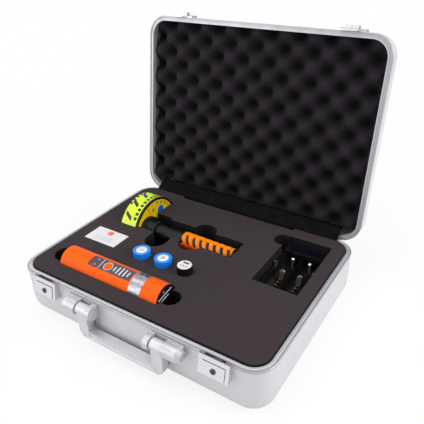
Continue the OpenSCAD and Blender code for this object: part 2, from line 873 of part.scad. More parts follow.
module lid_rear_feet() {
    color(black) opened() both_sides(foot_x)
        rod_y(0, wall_back, wall_back + foot_h, lid_base + lip_h + foot_r + 1, foot_r);
}

// ---------- transmitter ----------

// Frame of the transmitter: x from its left end, z up through its panel
module on_tube() {
    translate([tube_x, tube_y, tube_z]) rotate([tube_turn, 0, 0]) children();
}

module transmitter_tube() {
    color(orange) on_tube() difference() {
        union() {
            rod_x(1.5, tube_len - cap_t, 0, 0, tube_r);
            translate([0, 0, 0]) rotate([0, 90, 0])
                cylinder(r1 = tube_r - 1.5, r2 = tube_r, h = 1.5, $fn = smooth);
        }
        rod_x(4, tube_len + 1, 0, 0, tube_inner);
        // flat seat of the panel
        block(panel_x, panel_x + panel_len, -tube_r, tube_r, panel_flat, tube_r + 1);
        // well of the button
        rod_z(button_x, 0, panel_flat - 3, panel_flat + 1, button_r + 0.3);
        // groove of the band
        difference() {
            rod_x(band_x, band_x + band_len, 0, 0, tube_r + 1);
            rod_x(band_x - 1, band_x + band_len + 1, 0, 0, tube_r - band_t);
        }
    }
}

module transmitter_panel() {
    color([0.3, 0.31, 0.34]) on_tube() difference() {
        block(panel_x + 0.2, panel_x + panel_len - 0.2, -panel_w / 2 + 0.4, panel_w / 2 - 0.4,
              panel_flat, panel_flat + panel_t);
        rod_z(button_x, 0, panel_flat - 1, panel_flat + panel_t + 1, button_r + 0.3);
    }
}

module transmitter_button() {
    color(orange) on_tube()
        rod_z(button_x, 0, panel_flat - 1.5, panel_flat + panel_t + 0.9, button_r);
}

module transmitter_band() {
    color(steel) on_tube() difference() {
        rod_x(band_x + 0.1, band_x + band_len - 0.1, 0, 0, tube_r + 0.2);
        rod_x(band_x - 1, band_x + band_len + 1, 0, 0, tube_r - band_t + running);
    }
}

module transmitter_end_cap() {
    grooves = 5;
    half = 15.5;
    color(black) on_tube() difference() {
        union() {
            rod_x(tube_len - cap_t - cap_len, tube_len - cap_t, 0, 0, tube_inner - running);
            rod_x(tube_len - cap_t, tube_len, 0, 0, tube_r - 0.2);
        }
        // grip grooves across the cap
        for (i = [0 : grooves - 1])
            block(tube_len - cap_groove, tube_len + 1, -half, half,
                  cap_rise - i * cap_pitch - 1, cap_rise - i * cap_pitch + 1);
    }
}

module transmitter_board() {
    half = sqrt(pow(tube_inner, 2) - pow(tube_inner - 7.4, 2)) - 0.4;
    color("darkgreen") on_tube() block(6, 90, -half, half, tube_inner - 9, tube_inner - 7.4);
}

module transmitter_cell() {
    color(blue) on_tube()
        rod_x(tube_len - cap_t - cap_len - cell_len - 1, tube_len - cap_t - cap_len - 0.5,
              0, cell_r + fit - tube_inner, cell_r);
}

// ---------- detector ----------

// Extrudes an outline drawn across the tool (x is Y, y is Z) along X
module across(x0, x1) {
    translate([x0, 0, 0]) rotate([90, 0, 90]) linear_extrude(height = x1 - x0) children();
}

// Outline of the key: straight sides with half-round ends, in the plane across the axis
module key_outline(grow) {
    r = key_r + grow;
    for (side = [-1, 1])
        translate([key_y, key_z + side * key_rise]) circle(r = r, $fn = smooth);
    translate([key_y - r, key_z - key_rise]) square([2 * r, 2 * key_rise]);
}

module detector_head() {
    color(black) difference() {
        across(head_x, hub_x) head_outline(0);
        // seat of the band, between the rims
        across(head_x + rim_t, hub_x - rim_t) difference() {
            head_outline(1);
            head_outline(-band_set);
            translate([0, -1]) square([200, head_low + 3]);
        }
        // hollow for the coil and the electronics
        across(head_x + rim_t, hub_x - face_set - face_t) head_outline(-4);
        // recess of the face plate
        across(hub_x - face_t, hub_x + 1) head_outline(-face_set);
        rod_x(hub_x - face_set - face_t - 1, hub_x, tool_y, tool_z, 6);
        across(hub_x - 3.4, hub_x) key_outline(0.3);
    }
}

module detector_band() {
    color(lime) across(head_x + rim_t + 0.1, hub_x - rim_t - 0.1) difference() {
        head_outline(0.1);
        head_outline(-band_set + running);
        translate([0, -1]) square([200, head_low + 4]);
    }
}

module detector_face() {
    color(yellow) difference() {
        across(hub_x - face_t, hub_x) head_outline(-face_set - 0.1);
        rod_x(hub_x - 3, hub_x + 1, tool_y, tool_z, spigot_r + running);
        across(hub_x - 3, hub_x + 1) key_outline(0.3);
    }
}

module detector_button() {
    color(blue) across(hub_x - 3.4 + button_travel + 0.2, hub_x + 1.2) key_outline(0);
}

// Lamps in a row along the head's arch, and one beside the button
module detector_lamps() {
    color(white) {
        for (i = [0 : lamp_n - 1]) {
            a = lamp_from + i * (lamp_to - lamp_from) / (lamp_n - 1);
            rod_x(hub_x, hub_x + 0.6, head_y + lamp_ring * sin(a),
                  head_top - head_r + lamp_ring * cos(a), lamp_r);
        }
        rod_x(hub_x, hub_x + 0.6, head_y - 3.5, key_z + 9.1, lamp_r + 0.5);
    }
}

module detector_hub() {
    color(black) difference() {
        union() {
            rod_x(hub_x - face_t, hub_x, tool_y, tool_z, spigot_r);
            rod_x(hub_x, hub_x + 8, tool_y, tool_z, hub_r);
            translate([hub_x + 8, tool_y, tool_z]) rotate([0, 90, 0])
                cylinder(r1 = hub_r - 3, r2 = neck_r, h = flange_x - hub_x - 8, $fn = smooth);
            rod_x(flange_x, flange_x + 4, tool_y, tool_z, flange_r);
            rod_x(flange_x + 4, grip_x, tool_y, tool_z, neck_r);
            // core that carries the slotted grip, and the plate that closes it
            rod_x(grip_x, grip_x + grip_len, tool_y, tool_z, grip_core_r - running);
            rod_x(grip_x + grip_len, grip_x + grip_len + grip_cap, tool_y, tool_z,
                  grip_end_r - 0.3);
        }
        rod_x(hub_x - 2, flange_x - 4, tool_y, tool_z, 6);
    }
}

// One leaning slot of the grip, drawn from the front: x along the tool, y is Z
module slot_outline(x) {
    low = tool_z + slot_low;
    high = tool_z + grip_r + 1;
    foot = x + slot_lean * (slot_high - slot_low);
    head = x - slot_lean * (grip_r + 1 - slot_high);
    polygon([[foot - grip_slot / 2, low], [foot + grip_slot / 2, low],
             [head + grip_slot / 2, high], [head - grip_slot / 2, high]]);
}

module detector_grip() {
    color(orange) difference() {
        translate([grip_x, tool_y, tool_z]) rotate([0, 90, 0])
            cylinder(r1 = grip_r, r2 = grip_end_r, h = grip_len, $fn = smooth);
        rod_x(grip_x - 1, grip_x + grip_len + 1, tool_y, tool_z, grip_core_r);
        // slots between the ribs, from beside the spine down to the solid lower part
        for (i = [-1 : grip_slots - 1], side = [-1, 1])
            translate([0, side < 0 ? tool_y - spine_half : tool_y + grip_r + 1, 0])
                rotate([90, 0, 0]) linear_extrude(height = grip_r + 1 - spine_half)
                    slot_outline(grip_x + grip_first + i * grip_rib_pitch);
    }
}

module detector_coil() {
    color(brass) across(head_x + rim_t + 8, head_x + rim_t + 20) difference() {
        head_outline(-4 - fit);
        head_outline(-13);
    }
}

// ---------- cells and puck ----------

module cell_can(x) {
    color(blue) difference() {
        rod_z(x, cell_y, cell_top - cell_len, cell_top, cell_r);
        rod_z(x, cell_y, cell_top - 1, cell_top + 1, cell_r - cell_rim);
    }
}

module cell_ring(x) {
    color(white) difference() {
        rod_z(x, cell_y, cell_top - 1, cell_top - 0.2, cell_r - cell_rim - running);
        rod_z(x, cell_y, cell_top - 2, cell_top + 1, 3.4);
    }
}

module cell_terminal(x) {
    color(steel) rod_z(x, cell_y, cell_top - 1, cell_top + 0.3, 3.4 - running);
}

module cell_left_can() { cell_can(cell_left_x); }
module cell_left_ring() { cell_ring(cell_left_x); }
module cell_left_terminal() { cell_terminal(cell_left_x); }
module cell_right_can() { cell_can(cell_right_x); }
module cell_right_ring() { cell_ring(cell_right_x); }
module cell_right_terminal() { cell_terminal(cell_right_x); }

module test_puck() {
    color(black) difference() {
        rod_z(puck_x, cell_y, puck_top - puck_h, puck_top - 0.2, puck_r);
        rod_z(puck_x, cell_y, puck_top - 1.4, puck_top + 1, puck_r - 0.8);
    }
}

module test_puck_cap() {
    color(bright) rod_z(puck_x, cell_y, puck_top - 1.4, puck_top, puck_r - 0.8 - running);
}

// ---------- charger ----------

module charger_case() {
    x0 = charger_x - charger_w / 2;
    x1 = charger_x + charger_w / 2;
    y1 = charger_y + charger_len;
    color(black) difference() {
        union() {
            block(x0, x1, charger_y, y1, charger_low, charger_top);
            block(x0, x1, bay_end, y1, charger_low, block_top);
        }
        for (side = [-1, 1]) {
            x = charger_x + side * bay_x;
            rod_y(x, bay_y, bay_end, bay_z, bay_r);
            // slot that guides the sliding contact
            block(x - rail_w / 2 - 0.2, x + rail_w / 2 + 0.2, slider_y - slider_travel - 1,
                  slider_y + 8, bay_z - bay_r - 5, bay_z - 8);
            // seat of the fixed contact's post
            rod_z(x, bay_end - contact_reach, post_low, bay_z - bay_r + 2, 2 + running);
        }
        // seat of the window
        block(x0 + 5.9, x1 - 5.9, bay_end + 3.9, y1 - 3.9, block_top - 1.2, block_top + 1);
    }
}

module charger_window() {
    color([0.1, 0.12, 0.2])
        block(charger_x - charger_w / 2 + 6, charger_x + charger_w / 2 - 6, bay_end + 4,
              charger_y + charger_len - 4, block_top - 1.2, block_top);
}

// Round contacts on posts at the back of the bays, and a plated lug on each side wall
module charger_contacts() {
    color(bright) for (side = [-1, 1]) {
        rod_z(charger_x + side * bay_x, bay_end - contact_reach, post_low, bay_z, 2);
        translate([charger_x + side * bay_x, bay_end - contact_reach, bay_z])
            sphere(r = contact_r, $fn = smooth);
        rod_z(charger_x + side * (charger_w - charger_wall) / 2, slider_y + 15, charger_top,
              charger_top + lug_h, charger_wall / 2 - 0.1);
    }
}

module charger_slider(side) {
    x = charger_x + side * bay_x;
    color(brass) {
        // foot in the slot of the bay's floor, and the upright plate on it
        block(x - rail_w / 2, x + rail_w / 2, slider_y, slider_y + slider_t,
              bay_z - bay_r - 4, spring_z);
        block(x - plate_w / 2, x + plate_w / 2, slider_y, slider_y + slider_t,
              bay_z - bay_r + 1, bay_z + 4);
        rod_y(x, slider_y + slider_t - touch, slider_y + slider_t + slider_tip, bay_z, 4.2);
    }
}

module charger_slider_left() { charger_slider(-1); }
module charger_slider_right() { charger_slider(1); }

// Coil springs behind the sliders: a tube of six sides swept along a helix
spring_turns = 6;
spring_rings = 8;
spring_wire = 0.5;
spring_r = 2.4;
spring_z = bay_z - bay_r + spring_r + spring_wire + 0.4;     // low in the bay
spring_from = bay_y + spring_wire + fit;
spring_to = slider_y - spring_wire - fit;

function spring_point(t) = [spring_r * cos(360 * spring_turns * t),
                            spring_from + (spring_to - spring_from) * t,
                            spring_r * sin(360 * spring_turns * t)];
// Direction along the wire, and two directions across it
function unit(v) = v / norm(v);
function spring_along(t) = unit(spring_point(t + 0.0005) - spring_point(t - 0.0005));
function spring_ring(t) =
    let (out = unit([spring_point(t)[0], 0, spring_point(t)[2]]),
         side = cross(spring_along(t), out))
    [for (k = [0 : 5]) spring_point(t) + spring_wire * (cos(60 * k) * out + sin(60 * k) * side)];

module coil_spring() {
    n = spring_turns * spring_rings;
    points = [for (i = [0 : n], p = spring_ring(i / n)) p];
    walls = [for (i = [0 : n - 1], k = [0 : 5])
        let (a = 6 * i + k, b = 6 * i + (k + 1) % 6) each [[a, b, b + 6], [a, b + 6, a + 6]]];
    ends = [for (k = [1 : 4]) each [[0, k + 1, k], [6 * n, 6 * n + k, 6 * n + k + 1]]];
    polyhedron(points = points, faces = concat(walls, ends), convexity = 6);
}

// Least gap between one turn and the next
echo(spring_gap = (spring_to - spring_from) / spring_turns - 2 * spring_wire);

module charger_spring(side) {
    color(brass) translate([charger_x + side * bay_x, 0, spring_z]) coil_spring();
}

module charger_spring_left() { charger_spring(-1); }
module charger_spring_right() { charger_spring(1); }

base_shell();
base_frame();
base_foam_front();
base_foam_left();
base_foam_right();
blank_card();
hinge_cover();
hinge_base_leaves();
hinge_pins();
base_fastenings();
base_rear_feet();
handle_bracket_left();
handle_bracket_right();
handle_pins();
carry_handle();
latch_frame_left();
latch_frame_right();
latch_pins();
latch_lever_left();
latch_lever_right();
lock_cylinder_left();
lock_cylinder_right();
lid_shell();
lid_frame();
lid_foam();
lid_hasps();
hinge_lid_leaves();
lid_fastenings();
lid_rear_feet();
transmitter_tube();
transmitter_panel();
transmitter_button();
transmitter_band();
transmitter_end_cap();
transmitter_board();
transmitter_cell();
detector_head();
detector_band();
detector_face();
detector_button();
detector_lamps();
detector_hub();
detector_grip();
detector_coil();
cell_left_can();
cell_left_ring();
cell_left_terminal();
cell_right_can();
cell_right_ring();
cell_right_terminal();
test_puck();
test_puck_cap();
charger_case();
charger_window();
charger_contacts();
charger_slider_left();
charger_slider_right();
charger_spring_left();
charger_spring_right();
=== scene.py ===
"""Looks of an open instrument carrying case and of the locator kit in its foam."""

import json
import logging
import math
from dataclasses import dataclass, field
from enum import Enum
from typing import Callable, Sequence

import bmesh
import bpy
from mathutils import Matrix, Vector

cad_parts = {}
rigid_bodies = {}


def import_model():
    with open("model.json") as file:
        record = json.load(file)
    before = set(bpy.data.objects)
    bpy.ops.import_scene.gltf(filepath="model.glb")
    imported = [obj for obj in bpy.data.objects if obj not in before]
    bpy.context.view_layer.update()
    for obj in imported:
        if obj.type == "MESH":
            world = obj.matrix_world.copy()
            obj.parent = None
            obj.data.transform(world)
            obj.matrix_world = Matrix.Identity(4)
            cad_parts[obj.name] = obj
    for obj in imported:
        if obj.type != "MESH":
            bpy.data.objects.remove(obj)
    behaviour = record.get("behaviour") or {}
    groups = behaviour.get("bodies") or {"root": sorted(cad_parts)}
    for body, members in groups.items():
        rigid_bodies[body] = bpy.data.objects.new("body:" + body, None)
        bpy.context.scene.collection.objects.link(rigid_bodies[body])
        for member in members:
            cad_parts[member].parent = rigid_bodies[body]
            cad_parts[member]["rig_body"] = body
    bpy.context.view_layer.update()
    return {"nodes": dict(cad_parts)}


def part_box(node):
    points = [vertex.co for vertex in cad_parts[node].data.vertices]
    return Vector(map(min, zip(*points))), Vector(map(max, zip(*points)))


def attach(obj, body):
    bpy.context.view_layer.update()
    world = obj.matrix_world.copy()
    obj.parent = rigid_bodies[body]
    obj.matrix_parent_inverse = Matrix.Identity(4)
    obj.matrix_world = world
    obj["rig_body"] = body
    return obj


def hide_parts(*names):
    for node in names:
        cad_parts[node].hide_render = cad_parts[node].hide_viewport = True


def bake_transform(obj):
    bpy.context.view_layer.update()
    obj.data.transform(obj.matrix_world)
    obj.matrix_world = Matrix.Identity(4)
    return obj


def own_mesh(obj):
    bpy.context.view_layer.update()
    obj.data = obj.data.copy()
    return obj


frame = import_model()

Point = tuple[float, float, float]
Outline = list[tuple[float, float]]
Place = Callable[[float, float, float], Point]
Mesh = bmesh.types.BMesh
Socket = bpy.types.NodeSocket
Thing = bpy.types.Object
Tree = bpy.types.NodeTree

LOG = logging.getLogger("instrument_case")
MM = 0.001
SIDES = ("left", "right")
# A printed mark starts a little under its face and stands a little off it
INK_LOW, INK_HIGH = -0.05 * MM, 0.06 * MM


class Body(Enum):
    """The rigid bodies that pieces ride on."""

    BASE = "base"
    LID = "lid"
    TRANSMITTER = "transmitter"
    END_CAP = "end_cap"
    DETECTOR = "detector"
    KEY_PAD = "key_pad"
    PUCK = "puck"
    CHARGER = "charger"


class Edge(Enum):
    """How far an edge is broken, in millimetres: by its tool or by its mould."""

    CRISP = 0.15
    EASED = 0.35
    SOFT = 0.8
    FULL = 1.5


@dataclass(frozen=True)
class CaseSizes:
    """Sizes that the case's pieces share, in metres, in the row frame."""

    opening_w: float = 0.400
    opening_d: float = 0.295
    opening_r: float = 0.025
    base_h: float = 0.076
    foam_top: float = 0.0785
    lid_face: float = 0.081
    lid_back: float = 0.1185
    lid_foam_back: float = 0.1365
    foam_w: float = 0.3986
    foam_d: float = 0.2932
    hinge_y: float = 0.1554
    hinge_z: float = 0.074
    lid_open: float = 98.0

    def opened(self) -> Matrix:
        """Returns the matrix that carries the shut lid's coordinates to the open lid."""
        axis = Vector((0, self.hinge_y, self.hinge_z))
        turn = Matrix.Rotation(math.radians(-self.lid_open), 4, "X")
        return Matrix.Translation(axis) @ turn @ Matrix.Translation(-axis)


SIZES = CaseSizes()


# ---------- nodes and finishes ----------


def linear(colour: str) -> tuple[float, float, float, float]:
    """Turns an sRGB colour into the linear one that shaders take.

    Args:
        colour: Six hex digits after a #.

    Returns:
        Linear red, green, blue and an alpha of 1.
    """
    parts = [int(colour[i : i + 2], 16) / 255 for i in (1, 3, 5)]
    return (
        *(p / 12.92 if p <= 0.04045 else ((p + 0.055) / 1.055) ** 2.4 for p in parts),
        1.0,
    )


def add(
    tree: Tree, kind: str, inputs: dict | tuple = (), out: int | str | None = 0, **settings: object
) -> Socket | bpy.types.Node:
    """Adds a node with its settings, and feeds its inputs.

    Args:
        tree: The tree that takes the node.
        kind: The node's type.
        inputs: Sockets or constants that feed it, by name or index, or in order.
        out: Name or index of the output that is wanted, or None for the node itself.
        **settings: The node's own properties.

    Returns:
        The output's socket, or the node.
    """
    node = tree.nodes.new(kind)
    for key, value in settings.items():
        setattr(node, key, value)
    for key, value in dict(enumerate(inputs) if isinstance(inputs, tuple) else inputs).items():
        if isinstance(value, Socket):
            tree.links.new(value, node.inputs[key])
        else:
            node.inputs[key].default_value = value
    return node if out is None else node.outputs[out]


@dataclass(frozen=True)
class Finish:
    """A surface as it was made: its colour, its gloss and its fine relief.

    Two colours mix over patches some centimetres wide, a finer noise gives the relief, and
    the same noise varies the roughness a little, as handling and moulding do.
    """

    name: str
    colour: str
    shade: str
    roughness: float = 0.5
    metallic: float = 0.0
    ior: float = 1.5
    patch_mm: float = 35.0
    grain_mm: float = 0.6
    relief_mm: float = 0.02
    coat: float = 0.0
    spread: float = 0.08

    def coordinates(self, tree: Tree) -> Socket:
        """Returns the Object coordinates, in metres."""
        return add(tree, "ShaderNodeTexCoord", out="Object")

    def noise(self, tree: Tree, where: Socket, size_mm: float, detail: float) -> Socket:
        """Adds a noise whose features have a real size.

        Args:
            tree: The material's tree.
            where: Coordinates in metres.
            size_mm: Size of one feature.
            detail: Octaves of finer detail.

        Returns:
            The noise's value.
        """
        shape = {"Vector": where, "Scale": 1 / (size_mm * MM), "Detail": detail}
        return add(tree, "ShaderNodeTexNoise", {**shape, "Roughness": 0.55}, "Fac")

    def upward(self, tree: Tree) -> Socket:
        """Returns how far each face looks up, from -1 to 1."""
        normal = add(tree, "ShaderNodeNewGeometry", out="True Normal")
        return add(tree, "ShaderNodeSeparateXYZ", (normal,), "Z")

    def tone(self, tree: Tree, where: Socket) -> Socket:
        """Returns how far each point leans to the second colour, from 0 to 1."""
        patches = self.noise(tree, where, self.patch_mm, 3.0)
        return add(
            tree, "ShaderNodeMapRange", {"Value": patches, "From Min": 0.35, "From Max": 0.7}
        )

    def relief(self, tree: Tree, where: Socket) -> Socket:
        """Returns the height of the fine relief, from 0 to 1."""
        return self.noise(tree, where, self.grain_mm, 2.0)

    def build(self) -> bpy.types.Material:
        """Returns the material, made once for each name."""
        known = bpy.data.materials.get(self.name)
        if known is not None:
            return known
        material = bpy.data.materials.new(self.name)
        material.use_nodes = True
        tree = material.node_tree
        tree.nodes.clear()
        where = self.coordinates(tree)
        mixed = {0: self.tone(tree, where), 6: linear(self.colour), 7: linear(self.shade)}
        wear = {
            "Value": self.noise(tree, where, self.patch_mm * 0.4, 3.0),
            "From Min": 0.3,
            "From Max": 0.7,
            "To Min": self.roughness - self.spread,
            "To Max": self.roughness + self.spread,
        }
        height = self.relief(tree, where)
        bumps = {"Height": height, "Strength": 0.6, "Distance": self.relief_mm * MM}
        surface = {
            "Base Color": add(tree, "ShaderNodeMix", mixed, 2, data_type="RGBA"),
            "Roughness": add(tree, "ShaderNodeMapRange", wear),
            "Normal": add(tree, "ShaderNodeBump", bumps),
            "Metallic": self.metallic,
            "Coat Weight": self.coat,
        }
        if not self.metallic:
            surface["IOR"] = self.ior
        shader = add(tree, "ShaderNodeBsdfPrincipled", surface)
        add(tree, "ShaderNodeOutputMaterial", {"Surface": shader}, None)
        return material


def past_outline(tree: Tree, where: Socket, width: float, depth: float, radius: float) -> Socket:
    """Adds the distance from the straight middle of a rounded rectangle about the origin.

    Args:
        tree: The material's tree.
        where: Coordinates in metres.
        width: The rectangle's size along X.
        depth: Its size along Y.
        radius: The radius of its corners.

    Returns:
        The distance in metres, which is the radius on the outline itself.
    """
    inner = (width / 2 - radius, depth / 2 - radius, 10.0)
    for operation, by in (("ABSOLUTE", {}), ("SUBTRACT", {1: inner}), ("MAXIMUM", {1: (0, 0, 0)})):
        where = add(tree, "ShaderNodeVectorMath", {0: where, **by}, operation=operation)
    return add(tree, "ShaderNodeVectorMath", {0: where}, "Value", operation="LENGTH")


@dataclass(frozen=True)
class FramePaintedLight(Finish):
    """Extruded aluminium with painted light: the flat land round the opening is painted bright and
    the rounded bead painted darker, as shade.
    """

    land_mm: float = 4.6

    def tone(self, tree: Tree, where: Socket) -> Socket:
        """Returns 0 on the land and 1 on the painted shade of the bead, by distance from the
        opening's outline.
        """
        radius = SIZES.opening_r
        distance = past_outline(tree, where, SIZES.opening_w, SIZES.opening_d, radius)
        edge, blur = radius + self.land_mm * MM, 0.4 * MM
        steps = {"Value": distance, "From Min": edge - blur, "From Max": edge + blur}
        return add(tree, "ShaderNodeMapRange", steps)


@dataclass(frozen=True)
class LidFramePaintedLight(FramePaintedLight):
    """The same extrusion and painted light on the lid, whose coordinates are turned back to the
    shut lid.
    """

    def coordinates(self, tree: Tree) -> Socket:
        """Returns the Object coordinates of the lid as if it were shut, in metres."""
        back = SIZES.opened().inverted()
        turned = {"Location": back.to_translation(), "Rotation": back.to_euler()}
        return add(tree, "ShaderNodeMapping", {"Vector": super().coordinates(tree), **turned})


@dataclass(frozen=True)
class NylonWithPaintedLight(Finish):
    """Orange nylon with painted light: the fins are painted yellower towards the top, where light
    shines through them, and the part below the split redder, as painted shade.
    """

    split: float = 67 * MM

    def tone(self, tree: Tree, where: Socket) -> Socket:
        """Returns 0 above the split and 1 below it, where the redder painted shade goes."""
        height, blur = add(tree, "ShaderNodeSeparateXYZ", (where,), "Z"), 1.5 * MM
        steps = {"Value": height, "From Min": self.split + blur, "From Max": self.split - blur}
        return add(tree, "ShaderNodeMapRange", steps)


@dataclass(frozen=True)
class ChromeWithPaintedReflection(Finish):
    """Chromed steel with a painted reflection: faces that look up are painted brownish grey,
    standing in for the lid's dark lining mirrored in them.
    """

    def tone(self, tree: Tree, where: Socket) -> Socket:
        """Returns 0 on upright faces and 1 on faces that look up, where the reflection is painted.
        """
        steps = {"Value": self.upward(tree), "From Min": 0.7, "From Max": 0.95}
        return add(tree, "ShaderNodeMapRange", steps)


@dataclass(frozen=True)
class CutFoamPaintedShade(Finish):
    """Closed-cell foam: its dusty skin is paler than the cut walls, which are darker partly by
    their own colour and partly by painted shade; painted shade also darkens it deeper in the
    pockets and at the rim.
    """

    def tone(self, tree: Tree, where: Socket) -> Socket:
        """Returns 0 on the level skin and up to 1 on the cut walls, with painted shade deeper in
        pockets and at the rim.
        """
        radius = SIZES.opening_r - 1 * MM
        distance = past_outline(tree, where, SIZES.foam_w, SIZES.foam_d, radius)
        height, top = add(tree, "ShaderNodeSeparateXYZ", (where,), "Z"), SIZES.foam_top
        # Three shares, each from 0 to 1: level faces (the cut walls darker, partly painted shade),
        # near the top (painted shade deeper in pockets), away from the rim (painted shade at the
        # rim)
        shares = (
            (self.upward(tree), 0.5, 0.95),
            (height, top - 3.5 * MM, top - 0.8 * MM),
            (distance, radius - 0.6 * MM, radius - 1.5 * MM),
        )
        # Flecks of dust take a share off the skin's own darkness
        skin = (self.noise(tree, where, 2.4, 2.0), 0.5, 1.0)
        skin = add(tree, "ShaderNodeMath", skin, operation="MULTIPLY_ADD")
        for value, low, high in shares:
            share = {"Value": value, "From Min": low, "From Max": high}
            share = add(tree, "ShaderNodeMapRange", share)
            skin = add(tree, "ShaderNodeMath", (skin, share), operation="MULTIPLY")
        return add(tree, "ShaderNodeMath", (1.16, skin), operation="SUBTRACT")


@dataclass(frozen=True)
class ConvolutedFoamPaintedShade(Finish):
    """Open-cell acoustic foam, painted darker the deeper its pits go: painted shade."""

    def tone(self, tree: Tree, where: Socket) -> Socket:
        """Returns the depth that the foam's own attribute holds, broken up a little, as the share
        of painted shade.
        """
        depth = add(tree, "ShaderNodeAttribute", out="Fac", attribute_name="depth")
        fleck = (self.noise(tree, where, self.grain_mm * 2, 2.0), 0.12, depth)
        return add(tree, "ShaderNodeMath", fleck, operation="MULTIPLY_ADD", use_clamp=True)


@dataclass(frozen=True)
class Cloth(Finish):
    """Coated cloth: the weave shows through as a fine grid of threads."""

    thread_mm: float = 0.9

    def relief(self, tree: Tree, where: Socket) -> Socket:
        """Returns crossed threads, spaced wide enough to show."""
        pace = 6283.0 / self.thread_mm  # one wave a thread, in radians a metre
        waves = []
        for axis in "XY":
            angle = (add(tree, "ShaderNodeSeparateXYZ", (where,), axis), pace)
            angle = add(tree, "ShaderNodeMath", angle, operation="MULTIPLY")
            waves.append(add(tree, "ShaderNodeMath", (angle,), operation="SINE"))
        crossed = add(tree, "ShaderNodeMath", tuple(waves), operation="MULTIPLY")
        return add(tree, "ShaderNodeMath", (crossed, 0.5, 0.5), operation="MULTIPLY_ADD")


